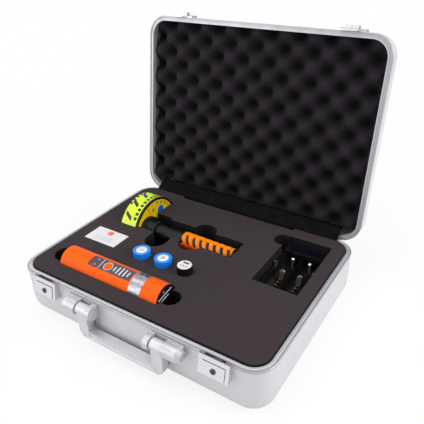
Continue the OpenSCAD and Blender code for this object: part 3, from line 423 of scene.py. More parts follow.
@dataclass(frozen=True)
class Finishes:
    """Every finish of the case and its kit, named for what it is."""

    # Lacquered aluminium sheet: even silver, soft reflections, faint orange peel
    shell: Finish = Finish(
        "lacquered aluminium sheet", "#C9C9CC", "#C6C6CA", 0.45, 0.35, patch_mm=70,
        grain_mm=1.6, relief_mm=0.03, spread=0.03,
    )
    # Satin-anodised extrusion with painted light: the land is painted brighter than the bead,
    # whose second colour is painted shade; the lid's copy is painted darker all over, as painted
    # shade
    rim: Finish = FramePaintedLight(
        "anodised aluminium extrusion", "#D4D4D8", "#ABAAB0", 0.40, 0.4, relief_mm=0.01
    )
    lid_rim: Finish = LidFramePaintedLight(
        "anodised aluminium extrusion, lid", "#B2B1B6", "#A09FA5", 0.40, 0.4, relief_mm=0.01
    )
    # Cross-linked polyethylene foam: quite matt, with a warm dusty skin; its near-black second
    # colour is partly the cut walls' own and partly painted shade, in pockets and at the rim
    foam: Finish = CutFoamPaintedShade(
        "cut polyethylene foam", "#362E32", "#08080A", 0.92, grain_mm=0.9, relief_mm=0.10,
        ior=1.35, spread=0.03,
    )
    # Open-cell polyurethane foam: dark and matt, with painted shade deepest in its pits
    lid_foam: Finish = ConvolutedFoamPaintedShade(
        "convoluted polyurethane foam", "#262127", "#040405", 0.95, grain_mm=0.8,
        relief_mm=0.16, ior=1.3, spread=0.03,
    )
    # PVC-coated cloth: black, with a low sheen
    cover: Finish = Cloth(
        "coated hinge cloth", "#050506", "#09090B", 0.85, ior=1.2, relief_mm=0.05
    )
    # Zinc-plated steel fastenings: grey, with small clouded spangles
    zinc: Finish = Finish(
        "zinc-plated steel", "#B9BABD", "#A6A7AB", 0.34, 0.95, patch_mm=9, grain_mm=0.5
    )
    # Chromed pressings of the latches: near mirrors; their second colour is a painted reflection
    # of the dark lid lining on faces that look up
    chrome: Finish = ChromeWithPaintedReflection(
        "chromed steel pressing", "#D6D6DC", "#8C8284", 0.2, 0.95, patch_mm=12, grain_mm=0.8,
        relief_mm=0.01,
    )
    # Silver-painted die casting and silver ABS: satin, with a fine pearl grain
    cast: Finish = Finish(
        "silver-painted casting", "#C2C1C6", "#B8B7BC", 0.42, 0.4, patch_mm=18, grain_mm=0.7
    )
    grip: Finish = Finish(
        "silver ABS moulding", "#CECDD1", "#C7C6CA", 0.42, 0.3, patch_mm=24, grain_mm=0.9
    )
    rubber: Finish = Finish("moulded rubber", "#141415", "#1C1C1D", 0.75, grain_mm=0.7)
    # Orange polycarbonate tube: a soft gloss over a deep even colour
    orange: Finish = Finish(
        "orange polycarbonate", "#FF6400", "#FA5C00", 0.46, patch_mm=30, grain_mm=2.2,
        relief_mm=0.015, ior=1.24,
    )
    # Painted light on the grip: yellow-orange fins above the split, red-orange painted shade below
    # it
    fins: Finish = NylonWithPaintedLight(
        "orange nylon moulding", "#FF8A00", "#FF5408", 0.5, patch_mm=20, grain_mm=0.8, ior=1.3
    )
    keyhole: Finish = Finish("blackened steel", "#55545A", "#45444A", 0.3, 0.9)
    panel: Finish = Finish("slate membrane film", "#45434F", "#3D3B47", 0.5, grain_mm=0.4)
    # Screen inks: thin, flat and a little duller than what carries them
    ink_white: Finish = Finish("white screen ink", "#E9E9EC", "#DEDEE2", 0.45, grain_mm=0.4)
    ink_black: Finish = Finish("black screen ink", "#141416", "#1D1D20", 0.45, grain_mm=0.4)
    ink_orange: Finish = Finish("orange screen ink", "#FF7A3C", "#F26C30", 0.45, grain_mm=0.4)
    ink_mint: Finish = Finish("pale green screen ink", "#BFE6C4", "#B2DCB8", 0.45)
    ink_grey: Finish = Finish("grey print", "#A9A9B0", "#B8B8BE", 0.6)
    film_edge: Finish = Finish("printed film edge", "#F2804A", "#EA7440", 0.45)
    # Metallised foil: small bright and dark patches a few millimetres across
    foil: Finish = Finish(
        "brushed foil", "#A6A4AA", "#86848A", 0.3, 0.8, patch_mm=5, grain_mm=0.5
    )
    # Lamps: glossy lenses in duller bezels
    lens: Finish = Finish("red lamp lens", "#F08878", "#E27464", 0.15, coat=0.6)
    bezel: Finish = Finish("dark lamp bezel", "#4A3C1C", "#3C3016", 0.3, coat=0.2)
    pale_lens: Finish = Finish("frosted lamp lens", "#EEDCD6", "#E2CCC6", 0.25, coat=0.4)
    # Fine-textured black ABS: a grey sheen over black
    black: Finish = Finish(
        "textured black ABS", "#0A090B", "#0F0E11", 0.42, grain_mm=0.5, relief_mm=0.02,
        ior=1.32,
    )
    # Fluorescent and plain films: strong flat colour under a thin gloss
    lime: Finish = Finish(
        "fluorescent lime film", "#DDF800", "#D4F000", 0.38, grain_mm=1.2, coat=0.1
    )
    yellow: Finish = Finish("yellow polycarbonate film", "#F6D200", "#EEC600", 0.36, coat=0.1)
    blue_key: Finish = Finish("blue silicone rubber", "#1268E0", "#0C5ACA", 0.45)
    # Shrink wrap: glossy, with faint waves
    wrap: Finish = Finish(
        "blue shrink wrap", "#1A90FF", "#1586F6", 0.3, patch_mm=12, grain_mm=3, ior=1.4
    )
    wafer: Finish = Finish("white insulating paper", "#F0F0F0", "#E6E4E4", 0.6)
    nickel: Finish = Finish(
        "nickel-plated steel", "#E2DED8", "#CFCBC4", 0.2, 0.95, patch_mm=4, grain_mm=0.5
    )
    # Printed disc on the puck: white ink over a metal cap
    puck_top: Finish = Finish("white printed disc", "#E6E4E6", "#D6D4D8", 0.4)
    # Spring bronze: bright where it is tinned, brown where it is bare
    slider: Finish = Finish(
        "tinned spring bronze", "#E6DACB", "#CDBDA8", 0.25, 0.9, patch_mm=4, grain_mm=0.5
    )
    coil: Finish = Finish(
        "bare spring bronze", "#9A7A62", "#846450", 0.32, 0.9, patch_mm=4, grain_mm=0.5
    )
    window: Finish = Finish("smoked display window", "#0C0E1A", "#090A12", 0.12, coat=0.4)
    card: Finish = Finish("matt card", "#E6E4E8", "#DEDCE0", 0.7, grain_mm=0.5)
    # Inside the instruments
    board: Finish = Finish("solder-masked board", "#0E3A20", "#0B2E1A", 0.4)
    copper: Finish = Finish("enamelled copper wire", "#A85C2C", "#8C4A22", 0.3, 0.9)


FINISH = Finishes()


# ---------- meshes ----------


def hang(name: str, data: bpy.types.Mesh, body: Body) -> Thing:
    """Makes an object of a finished mesh and hangs it on its body.

    Args:
        name: The piece's name.
        data: Its mesh.
        body: The body that it rides on.

    Returns:
        The object.
    """
    thing = bpy.data.objects.new(name, data)
    bpy.context.scene.collection.objects.link(thing)
    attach(thing, body.value)
    LOG.info("%s: %d faces on %s", name, len(data.polygons), body.value)
    return thing


def piece_from(
    name: str, mesh: Mesh, finish: Finish, body: Body, smooth: bool = True
) -> Thing:
    """Makes a piece out of a bmesh.

    Args:
        name: The piece's name.
        mesh: Its geometry in metres, in the row frame. It is freed.
        finish: Its finish.
        body: The body that it rides on.
        smooth: Whether its faces are shaded smooth.

    Returns:
        The object.
    """
    data = bpy.data.meshes.new(name)
    mesh.to_mesh(data)
    mesh.free()
    data.materials.append(finish.build())
    data.polygons.foreach_set("use_smooth", [smooth] * len(data.polygons))
    return hang(name, data, body)


def soften(thing: Thing, edge: Edge, angle: float = 32.0) -> None:
    """Breaks a piece's edges, as a mould or a tool does, so that they catch the light.

    Args:
        thing: The object. A CAD node's own mesh stays as it is.
        edge: How far its edges are broken.
        angle: Least angle between two faces, in degrees, that makes an edge.
    """
    thing.data.polygons.foreach_set("use_smooth", [True] * len(thing.data.polygons))
    thing.modifiers.new("weld", "WELD").merge_threshold = 2e-6
    bevel = thing.modifiers.new("edge", "BEVEL")
    bevel.width = edge.value * MM
    bevel.segments = 2
    bevel.limit_method = "ANGLE"
    bevel.angle_limit = math.radians(angle)
    bevel.use_clamp_overlap = True
    normals = thing.modifiers.new("normals", "WEIGHTED_NORMAL")
    normals.weight = 80


def dress(finish: Finish, edge: Edge | None, *nodes: str) -> None:
    """Gives CAD nodes their finish and breaks their edges.

    Args:
        finish: The finish.
        edge: How far their edges are broken, or None to leave them.
        *nodes: The nodes' names.
    """
    for name in nodes:
        thing = frame["nodes"][name]
        thing.data.materials.clear()
        thing.data.materials.append(finish.build())
        if edge is not None:
            soften(thing, edge)
        LOG.info("%s: %s", name, finish.name)


class Growth:
    """A Geometry Nodes tree with named sizes, grown into a plain mesh."""

    def __init__(self, name: str, sizes: dict[str, float | int]) -> None:
        """Starts the tree with a geometry input and one input for each size.

        Args:
            name: The tree's name.
            sizes: Input name to its value.
        """
        self.name = name
        self.sizes = sizes
        self.tree = bpy.data.node_groups.new(name, "GeometryNodeTree")
        face = self.tree.interface
        for way in ("INPUT", "OUTPUT"):
            face.new_socket("Geometry", in_out=way, socket_type="NodeSocketGeometry")
        self.identifiers: dict[str, str] = {}
        for key, value in sizes.items():
            kind = "NodeSocketInt" if isinstance(value, int) else "NodeSocketFloat"
            socket = face.new_socket(key, in_out="INPUT", socket_type=kind)
            self.identifiers[key] = socket.identifier
        self.start = add(self.tree, "NodeGroupInput", out=None)

    def __getitem__(self, key: str) -> Socket:
        """Returns the socket of a named size, or of the geometry."""
        return self.start.outputs[key]

    def row(self, shape: Socket, count: str, step: Socket | Point, **each: Socket) -> Socket:
        """Repeats a shape in a row.

        Args:
            shape: The shape's geometry.
            count: Name of the size that says how many there are.
            step: The way from one to the next, in metres.
            **each: What turns or scales each one.

        Returns:
            The row's geometry.
        """
        line = {"Count": self[count], "Offset": step}
        line = add(self.tree, "GeometryNodeMeshLine", line, mode="OFFSET")
        placed = {"Points": line, "Instance": shape, **each}
        return add(self.tree, "GeometryNodeInstanceOnPoints", placed)

    def grow(
        self,
        geometry: Socket,
        finish: Finish,
        body: Body,
        seed: Mesh | None = None,
        move: Matrix | None = None,
    ) -> Thing:
        """Ends the tree, runs it once and keeps the result as a plain mesh.

        Args:
            geometry: The tree's last geometry.
            finish: The finish of all of it.
            body: The body that the piece rides on.
            seed: Mesh that the tree starts from, if it needs one.
            move: Carries the result to its place in the row frame.

        Returns:
            The piece.
        """
        real = add(self.tree, "GeometryNodeRealizeInstances", (geometry,))
        dressed = {"Geometry": real, "Material": finish.build()}
        dressed = add(self.tree, "GeometryNodeSetMaterial", dressed)
        add(self.tree, "NodeGroupOutput", (dressed,), None)
        data = bpy.data.meshes.new(self.name + "_seed")
        if seed is not None:
            seed.to_mesh(data)
            seed.free()
        holder = bpy.data.objects.new(self.name + "_seed", data)
        bpy.context.scene.collection.objects.link(holder)
        modifier = holder.modifiers.new("growth", "NODES")
        modifier.node_group = self.tree
        for key, value in self.sizes.items():
            modifier[self.identifiers[key]] = value
        graph = bpy.context.evaluated_depsgraph_get()
        mesh = bpy.data.meshes.new_from_object(
            holder.evaluated_get(graph), preserve_all_data_layers=True, depsgraph=graph
        )
        holder.modifiers.remove(modifier)
        bpy.data.objects.remove(holder)
        if move is not None:
            mesh.transform(move)
        mesh.name = self.name
        return hang(self.name, mesh, body)


def loft(
    rows: Sequence[Sequence[Point]], ringed: bool = True, capped: bool = True, looped: bool = False
) -> Mesh:
    """Joins rows of points into a surface.

    Args:
        rows: The rows, each with as many points, in metres.
        ringed: Whether the last point of a row joins its first.
        capped: Whether one face closes each end.
        looped: Whether the last row joins the first.

    Returns:
        The surface, its faces outwards.
    """
    mesh = bmesh.new()
    lines = [[mesh.verts.new(point) for point in row] for row in rows]
    count = len(lines[0])
    for one, two in zip(lines, lines[1:] + lines[: int(looped)]):
        for i in range(count if ringed else count - 1):
            j = (i + 1) % count
            mesh.faces.new((one[i], one[j], two[j], two[i]))
    for line in (lines[0], lines[-1]) if capped else ():
        mesh.faces.new(line)
    bmesh.ops.recalc_face_normals(mesh, faces=mesh.faces)
    return mesh


def slab(outline: Outline, low: float, high: float, place: Place) -> Mesh:
    """Builds a thin closed plate, such as a layer of ink or film.

    Args:
        outline: Corners in the plate's own plane, counter-clockwise.
        low: Height of its underside.
        high: Height of its face.
        place: Turns own coordinates and a height into a point of the row frame.

    Returns:
        The plate, in metres.
    """
    return loft([[place(x, y, h) for x, y in outline] for h in (low, high)])


def circle(radius: float, count: int = 40, x: float = 0.0, y: float = 0.0) -> Outline:
    """Returns the corners of a round outline about a centre, in the plate's plane."""
    turns = [2 * math.pi / count * i for i in range(count)]
    return [(x + radius * math.cos(a), y + radius * math.sin(a)) for a in turns]


def stadium(radius: float, rise: float, x: float = 0.0, y: float = 0.0) -> Outline:
    """Returns the corners of an upright outline with straight sides and half-round ends."""
    return [(px, py + math.copysign(rise, py - y)) for px, py in circle(radius, 48, x, y)]


def block(x: float, y: float, half_w: float, half_h: float) -> Outline:
    """Returns the corners of a rectangle about a centre, in the plate's plane."""
    return [(x + sx * half_w, y + sy * half_h) for sx, sy in ((-1, -1), (1, -1), (1, 1), (-1, 1))]


def print_mark(
    name: str, outline: Outline, place: Place, face: float, ink: Finish, body: Body
) -> None:
    """Prints a flat mark on a face.

    Args:
        name: The piece's name.
        outline: Corners in the face's own plane, counter-clockwise.
        place: Turns own coordinates and a height into a point of the row frame.
        face: Height of the face.
        ink: The mark's finish.
        body: The body that it rides on.
    """
    mesh = slab(outline, face + INK_LOW, face + INK_HIGH, place)
    piece_from(name, mesh, ink, body, smooth=False)


def collar(inner: Outline, outer: Outline, low: float, high: float, place: Place) -> Mesh:
    """Builds a flat ring between two outlines.

    Args:
        inner: Corners of the hole, counter-clockwise.
        outer: As many corners of the outside.
        low: Height of its underside.
        high: Height of its face.
        place: Turns own coordinates and a height into a point of the row frame.

    Returns:
        The ring, in metres.
    """
    edges = ((inner, low), (outer, low), (outer, high), (inner, high))
    rows = [[place(x, y, h) for x, y in edge] for edge, h in edges]
    return loft(rows, capped=False, looped=True)


def wrapped(start: float, end: float, radius: float, skew: float, width: float) -> Mesh:
    """Builds a thin mark wrapped on a cylinder along X, about the top of its arch.

    Args:
        start: Where it starts along the axis.
        end: Where it ends.
        radius: The cylinder's radius.
        skew: Angle round the arch by which the mark leans, in degrees.
        width: Its width round the arch, in degrees.

    Returns:
        The mark, in metres, about the cylinder's own axis.
    """
    across, along = 8, 6
    rows = []
    for i in range(across + 1):
        u = i / across
        x, lean = start + (end - start) * u, skew * (0.5 - u)
        turns = [math.radians(lean + width * (k / along - 0.5)) for k in range(along + 1)]
        under = [(radius + INK_LOW, a) for a in turns]
        over = [(radius + INK_HIGH, a) for a in reversed(turns)]
        rows.append([(x, r * math.sin(a), r * math.cos(a)) for r, a in under + over])
    return loft(rows)


def dome(
    radius: float, height: float, low: float, place: Place, x: float, y: float,
    count: int = 28, rings: int = 6,
) -> Mesh:
    """Builds a low rounded button or lens that stands on a plane.

    Args:
        radius: Radius at its foot.
        height: Height of its crown.
        low: Height of its foot.
        place: Turns own coordinates and a height into a point of the row frame.
        x: Centre, first coordinate.
        y: Centre, second coordinate.
        count: Sides.
        rings: Rings from the foot to the crown.

    Returns:
        The dome, in metres.
    """
    rows = []
    for k in range(rings + 1):
        a = math.pi / 2 * k / rings
        ring = circle(radius * math.cos(a), count, x, y)
        rows.append([place(px, py, low + height * math.sin(a)) for px, py in ring])
    mesh = loft(rows)
    bmesh.ops.remove_doubles(mesh, verts=mesh.verts, dist=1e-7)
    bmesh.ops.recalc_face_normals(mesh, faces=mesh.faces)
    return mesh


# ---------- the case ----------


class CaseShells:
    """The two pressed shells, their frames and everything that is riveted to them."""

    def dress(self) -> None:
        """Gives every metal piece of the case its finish."""
        dress(FINISH.shell, None, "base_shell", "lid_shell")
        dress(FINISH.rim, None, "base_frame")
        dress(FINISH.lid_rim, None, "lid_frame")
        dress(FINISH.rubber, Edge.SOFT, "base_rear_feet", "lid_rear_feet")
        dress(
            FINISH.zinc, Edge.CRISP, "hinge_base_leaves", "hinge_lid_leaves", "hinge_pins",
            "base_fastenings", "lid_fastenings", "handle_pins", "latch_pins",
        )
        for side in SIDES:
            dress(FINISH.keyhole, Edge.CRISP, f"lock_cylinder_{side}")
            dress(FINISH.cast, Edge.SOFT, f"handle_bracket_{side}")
            dress(FINISH.chrome, Edge.EASED, f"latch_frame_{side}", f"latch_lever_{side}")
        dress(FINISH.grip, Edge.SOFT, "carry_handle")
        dress(FINISH.chrome, Edge.EASED, "lid_hasps")


@dataclass
class FoamInsert:
    nodes: tuple[str, ...] = ("base_foam_front", "base_foam_left", "base_foam_right")
    near: float = 0.01 * MM

    def join(self) -> Mesh:
        """Returns the three blocks as one, without the faces where they meet."""
        seam_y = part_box("base_foam_front")[1].y
        seam_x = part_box("base_foam_right")[0].x
        mesh = bmesh.new()
        for node in self.nodes:
            mesh.from_mesh(frame["nodes"][node].data)
        for spot, normal in (((seam_x, 0, 0), (1, 0, 0)), ((0, seam_y, 0), (0, 1, 0))):
            bmesh.ops.bisect_plane(
                mesh, geom=mesh.verts[:] + mesh.edges[:] + mesh.faces[:], dist=1e-6,
                plane_co=spot, plane_no=normal,
            )
        bmesh.ops.remove_doubles(mesh, verts=mesh.verts, dist=self.near / 2)

        def inside(face: bmesh.types.BMFace) -> bool:
            """Returns whether a face lies in one of the seams."""
            spots = [v.co for v in face.verts]
            return all(abs(p.y - seam_y) < self.near for p in spots) or all(
                abs(p.x - seam_x) < self.near and p.y > seam_y - self.near for p in spots
            )

        seams = [face for face in mesh.faces if inside(face)]
        bmesh.ops.delete(mesh, geom=seams, context="FACES")
        bmesh.ops.remove_doubles(mesh, verts=mesh.verts, dist=self.near / 2)
        bmesh.ops.dissolve_limit(
            mesh, angle_limit=math.radians(0.5), verts=mesh.verts, edges=mesh.edges
        )
        return mesh

    def build(self) -> None:
        """Builds the block: the cut solids with their edges relaxed, as cut foam's are."""
        thing = piece_from("foam_insert", self.join(), FINISH.foam, Body.BASE)
        soften(thing, Edge.SOFT, 40.0)
        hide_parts(*self.nodes)


@dataclass
class LidPad:
    """The lid's convoluted foam: peaks and pits in a chequered lattice."""

    pitch_x: float = 23.6 * MM
    pitch_y: float = 22.5 * MM
    pit_x: float = -73.9 * MM
    pit_y: float = -98.0 * MM
    pit_depth: float = 20.0 * MM
    sharpness: float = 1.35  # above 1, the pits are narrower than the peaks
    corner: float = 24.0 * MM
    columns: int = 176
    rows: int = 128
    turned: float = 0.16  # share of the depth in which the front corners turn
    inset: float = 20.0 * MM
    pressed: float = 0.27  # share of its thickness left where the shut lid presses it

    def half_width(self, y: float, shrink: float) -> float:
        """Returns the pad's half width at a depth, within the lid's rounded corners."""
        half = SIZES.foam_w / 2 - shrink
        rest = self.corner - max(SIZES.foam_d / 2 - abs(y) - shrink, 0.0)
        if rest <= 0:
            return half
        return half - self.corner + math.sqrt(max(self.corner**2 - rest**2, 0.0))

    def level(self, mesh: Mesh, z: float, shrink: float) -> list[list[bmesh.types.BMVert]]:
        """Adds one level of faces, drawn in from the outline.

        Args:
            mesh: The mesh that takes them.
            z: Their height.
            shrink: How far they are drawn in, in metres.

        Returns:
            Their vertices, row by row.
        """
        low, depth = -SIZES.foam_d / 2, SIZES.lid_foam_back + SIZES.foam_d / 2
        grid = []
        for j in range(self.rows + 1):
            t = j / self.rows
            if t <= self.turned:  # rows lie closer where the corners turn
                t = self.turned * (1 - math.cos(math.pi / 2 * t / self.turned))
            y = low + shrink + depth * t * (1 - 2 * shrink / depth)
            w = self.half_width(y, shrink)
            steps = [2 * i / self.columns - 1 for i in range(self.columns + 1)]
            grid.append([mesh.verts.new((w * step, y, z)) for step in steps])
        for one, two in zip(grid, grid[1:]):
            for corners in zip(one, one[1:], two[1:], two):
                mesh.faces.new(corners)
        return grid

    def sheet(self) -> Mesh:
        """Returns the plain pad as a closed block, in the shut lid's coordinates."""
        mesh = bmesh.new()
        rims = []
        for z, shrink in ((SIZES.lid_face, 0.0), (SIZES.lid_back, self.inset)):
            grid = self.level(mesh, z, shrink)
            right, left = [row[-1] for row in grid[1:]], [row[0] for row in grid[-2:0:-1]]
            rims.append(grid[0] + right + grid[-1][-2::-1] + left)
        belt = [
            mesh.verts.new((v.co.x, v.co.y, SIZES.lid_back - self.inset)) for v in rims[0]
        ]
        for one, two in ((rims[0], belt), (belt, rims[1])):
            for k in range(len(one)):
                mesh.faces.new((one[k - 1], one[k], two[k], two[k - 1]))
        bmesh.ops.remove_doubles(mesh, verts=mesh.verts, dist=1e-6)
        bmesh.ops.recalc_face_normals(mesh, faces=mesh.faces)
        return mesh

    def build(self) -> None:
        """Builds the pad: a lattice of pits pressed into the plain block."""
        growth = Growth(
            "convoluted_pad",
            {
                "Pitch X": self.pitch_x,
                "Pitch Y": self.pitch_y,
                "Pit X": self.pit_x,
                "Pit Y": self.pit_y,
                "Pit depth": self.pit_depth,
                "Face height": SIZES.lid_face,
            },
        )

        tree = growth.tree
        position = add(tree, "GeometryNodeInputPosition")
        place = add(tree, "ShaderNodeSeparateXYZ", (position,), None).outputs
        waves = []
        for axis in "XY":
            turns = (place[axis], growth[f"Pit {axis}"])
            turns = add(tree, "ShaderNodeMath", turns, operation="SUBTRACT")
            turns = add(
                tree, "ShaderNodeMath", (turns, growth[f"Pitch {axis}"]), operation="DIVIDE"
            )
            turns = add(tree, "ShaderNodeMath", (turns, math.pi), operation="MULTIPLY")
            waves.append(add(tree, "ShaderNodeMath", (turns,), operation="COSINE"))
        pit = add(tree, "ShaderNodeMath", tuple(waves), operation="MULTIPLY")
        pit = add(tree, "ShaderNodeMath", (pit, 0.5, 0.5), operation="MULTIPLY_ADD")
        pit = add(tree, "ShaderNodeMath", (pit, self.sharpness), operation="POWER")
        on_face = (place["Z"], growth["Face height"], 0.01 * MM)
        on_face = add(tree, "ShaderNodeMath", on_face, operation="COMPARE")
        # The pits' depth is stored for the foam's finish, which paints shade by it
        stored = add(
            tree,
            "GeometryNodeStoreNamedAttribute",
            {"Geometry": growth["Geometry"], "Name": "depth", "Value": pit},
            data_type="FLOAT",
            domain="POINT",
        )
        rise = add(tree, "ShaderNodeMath", (pit, growth["Pit depth"]), operation="MULTIPLY")
        rise = add(tree, "ShaderNodeMath", (rise, on_face), operation="MULTIPLY")
        rise = add(tree, "ShaderNodeCombineXYZ", {"Z": rise})
        moved = add(tree, "GeometryNodeSetPosition", {"Geometry": stored, "Offset": rise})
        smooth = add(tree, "GeometryNodeSetShadeSmooth", {"Geometry": moved})
        opened = SIZES.opened()
        thing = growth.grow(
            smooth, FINISH.lid_foam, Body.LID, self.sheet(), opened
        )
        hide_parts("lid_foam")
        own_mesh(thing)


@dataclass
class HingeCloth:
    """The black cloth that covers the gap between the base's foam and the lid's."""

    half_len: float = 177.0 * MM
    thick: float = 0.9 * MM
    tuck: float = 8.0 * MM  # how far each edge reaches behind its foam
    columns: int = 96
    steps: int = 10
    sag: float = 0.5 * MM
    ripple: float = 0.4  # height of the waves against the sag
    waves: tuple[Point, ...] = ((23.0, 1.0, 1.3), (41.0, 0.6, 0.0))  # pace, height, start

    def profile(self) -> list[Vector]:
        """Returns the cloth's centre line across the hinge, from the base up into the lid."""
        opened = SIZES.opened()
        back, edge = SIZES.opening_d / 2 - 0.55 * MM, SIZES.lid_foam_back + 0.8 * MM
        low = Vector((0, back, SIZES.base_h - self.tuck))
        sill = Vector((0, back, SIZES.foam_top + 0.4 * MM))
        lip = opened @ Vector((0, edge, SIZES.lid_face))
        deep = opened @ Vector((0, edge, SIZES.lid_face + self.tuck))
        across = [sill.lerp(lip, i / self.steps) for i in range(self.steps + 1)]
        return [low, low.lerp(sill, 0.5), *across, lip.lerp(deep, 0.4), deep]

    def build(self) -> None:
        """Builds the cloth, with faint waves along its length."""
        line = self.profile()
        rows = []
        for i in range(self.columns + 1):
            t = 2 * i / self.columns - 1
            wave = sum(high * math.sin(pace * t + start) for pace, high, start in self.waves)
            row = []
            for k, p in enumerate(line):
                free = max(0.0, math.sin(math.pi * (k - 1) / (len(line) - 3)))
                lift = self.sag * free * (self.ripple * wave - 1.0)
                row.append((self.half_len * t, p.y - lift * 0.5, p.z + lift))
            rows.append(row)
        mesh = loft(rows, ringed=False, capped=False)
        thing = piece_from("hinge_cloth", mesh, FINISH.cover, Body.BASE)
        solid = thing.modifiers.new("thickness", "SOLIDIFY")
        solid.thickness = self.thick
        solid.offset = 0.0
        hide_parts("hinge_cover")
        length = sum((b - a).length for a, b in zip(line, line[1:]))
        # It lets go of the body that it was hung on
        thing.parent = None
        if "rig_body" in thing:
            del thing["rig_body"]
        tuple(line[2])
        tuple(line[-3])
        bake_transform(thing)


@dataclass
class PocketCard:
    """The plain card on the foam: an orange dot and ruled lines, with nothing written."""

    line_w: float = 36.0 * MM
    line_t: float = 0.8 * MM
    line_h: float = 0.05 * MM
    lift: float = 0.03 * MM
    pitch: float = 3.7 * MM
    lines: int = 3
    margin: float = 8.0 * MM
    dot: Point = (-144.2 * MM, -19.8 * MM, 5.4 * MM)  # its centre and its radius

    def build(self) -> None:
        """Dresses the card, rules its lines and prints its dot."""
        dress(FINISH.card, None, "blank_card")
        low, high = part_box("blank_card")
        growth = Growth(
            "card_rules",
            {
                "Lines": self.lines,
                "Pitch": self.pitch,
                "Line width": self.line_w,
                "Line height": self.line_t,
            },
        )
        sides = (growth["Line width"], growth["Line height"], self.line_h)
        size = add(growth.tree, "ShaderNodeCombineXYZ", sides)
        bar = add(growth.tree, "GeometryNodeMeshCube", {"Size": size})
        step = add(growth.tree, "ShaderNodeCombineXYZ", {"Y": growth["Pitch"]})
        start = Vector(((low.x + high.x) / 2, low.y + self.margin, high.z + self.lift))
        growth.grow(
            growth.row(bar, "Lines", step), FINISH.ink_grey, Body.BASE,
            move=Matrix.Translation(start),
        )
        x, y, radius = self.dot
        print_mark(
            "card_dot", circle(radius, 40, x, y), lambda px, py, h: (px, py, h), high.z,
            FINISH.ink_orange, Body.BASE,
        )


# ---------- the transmitter ----------


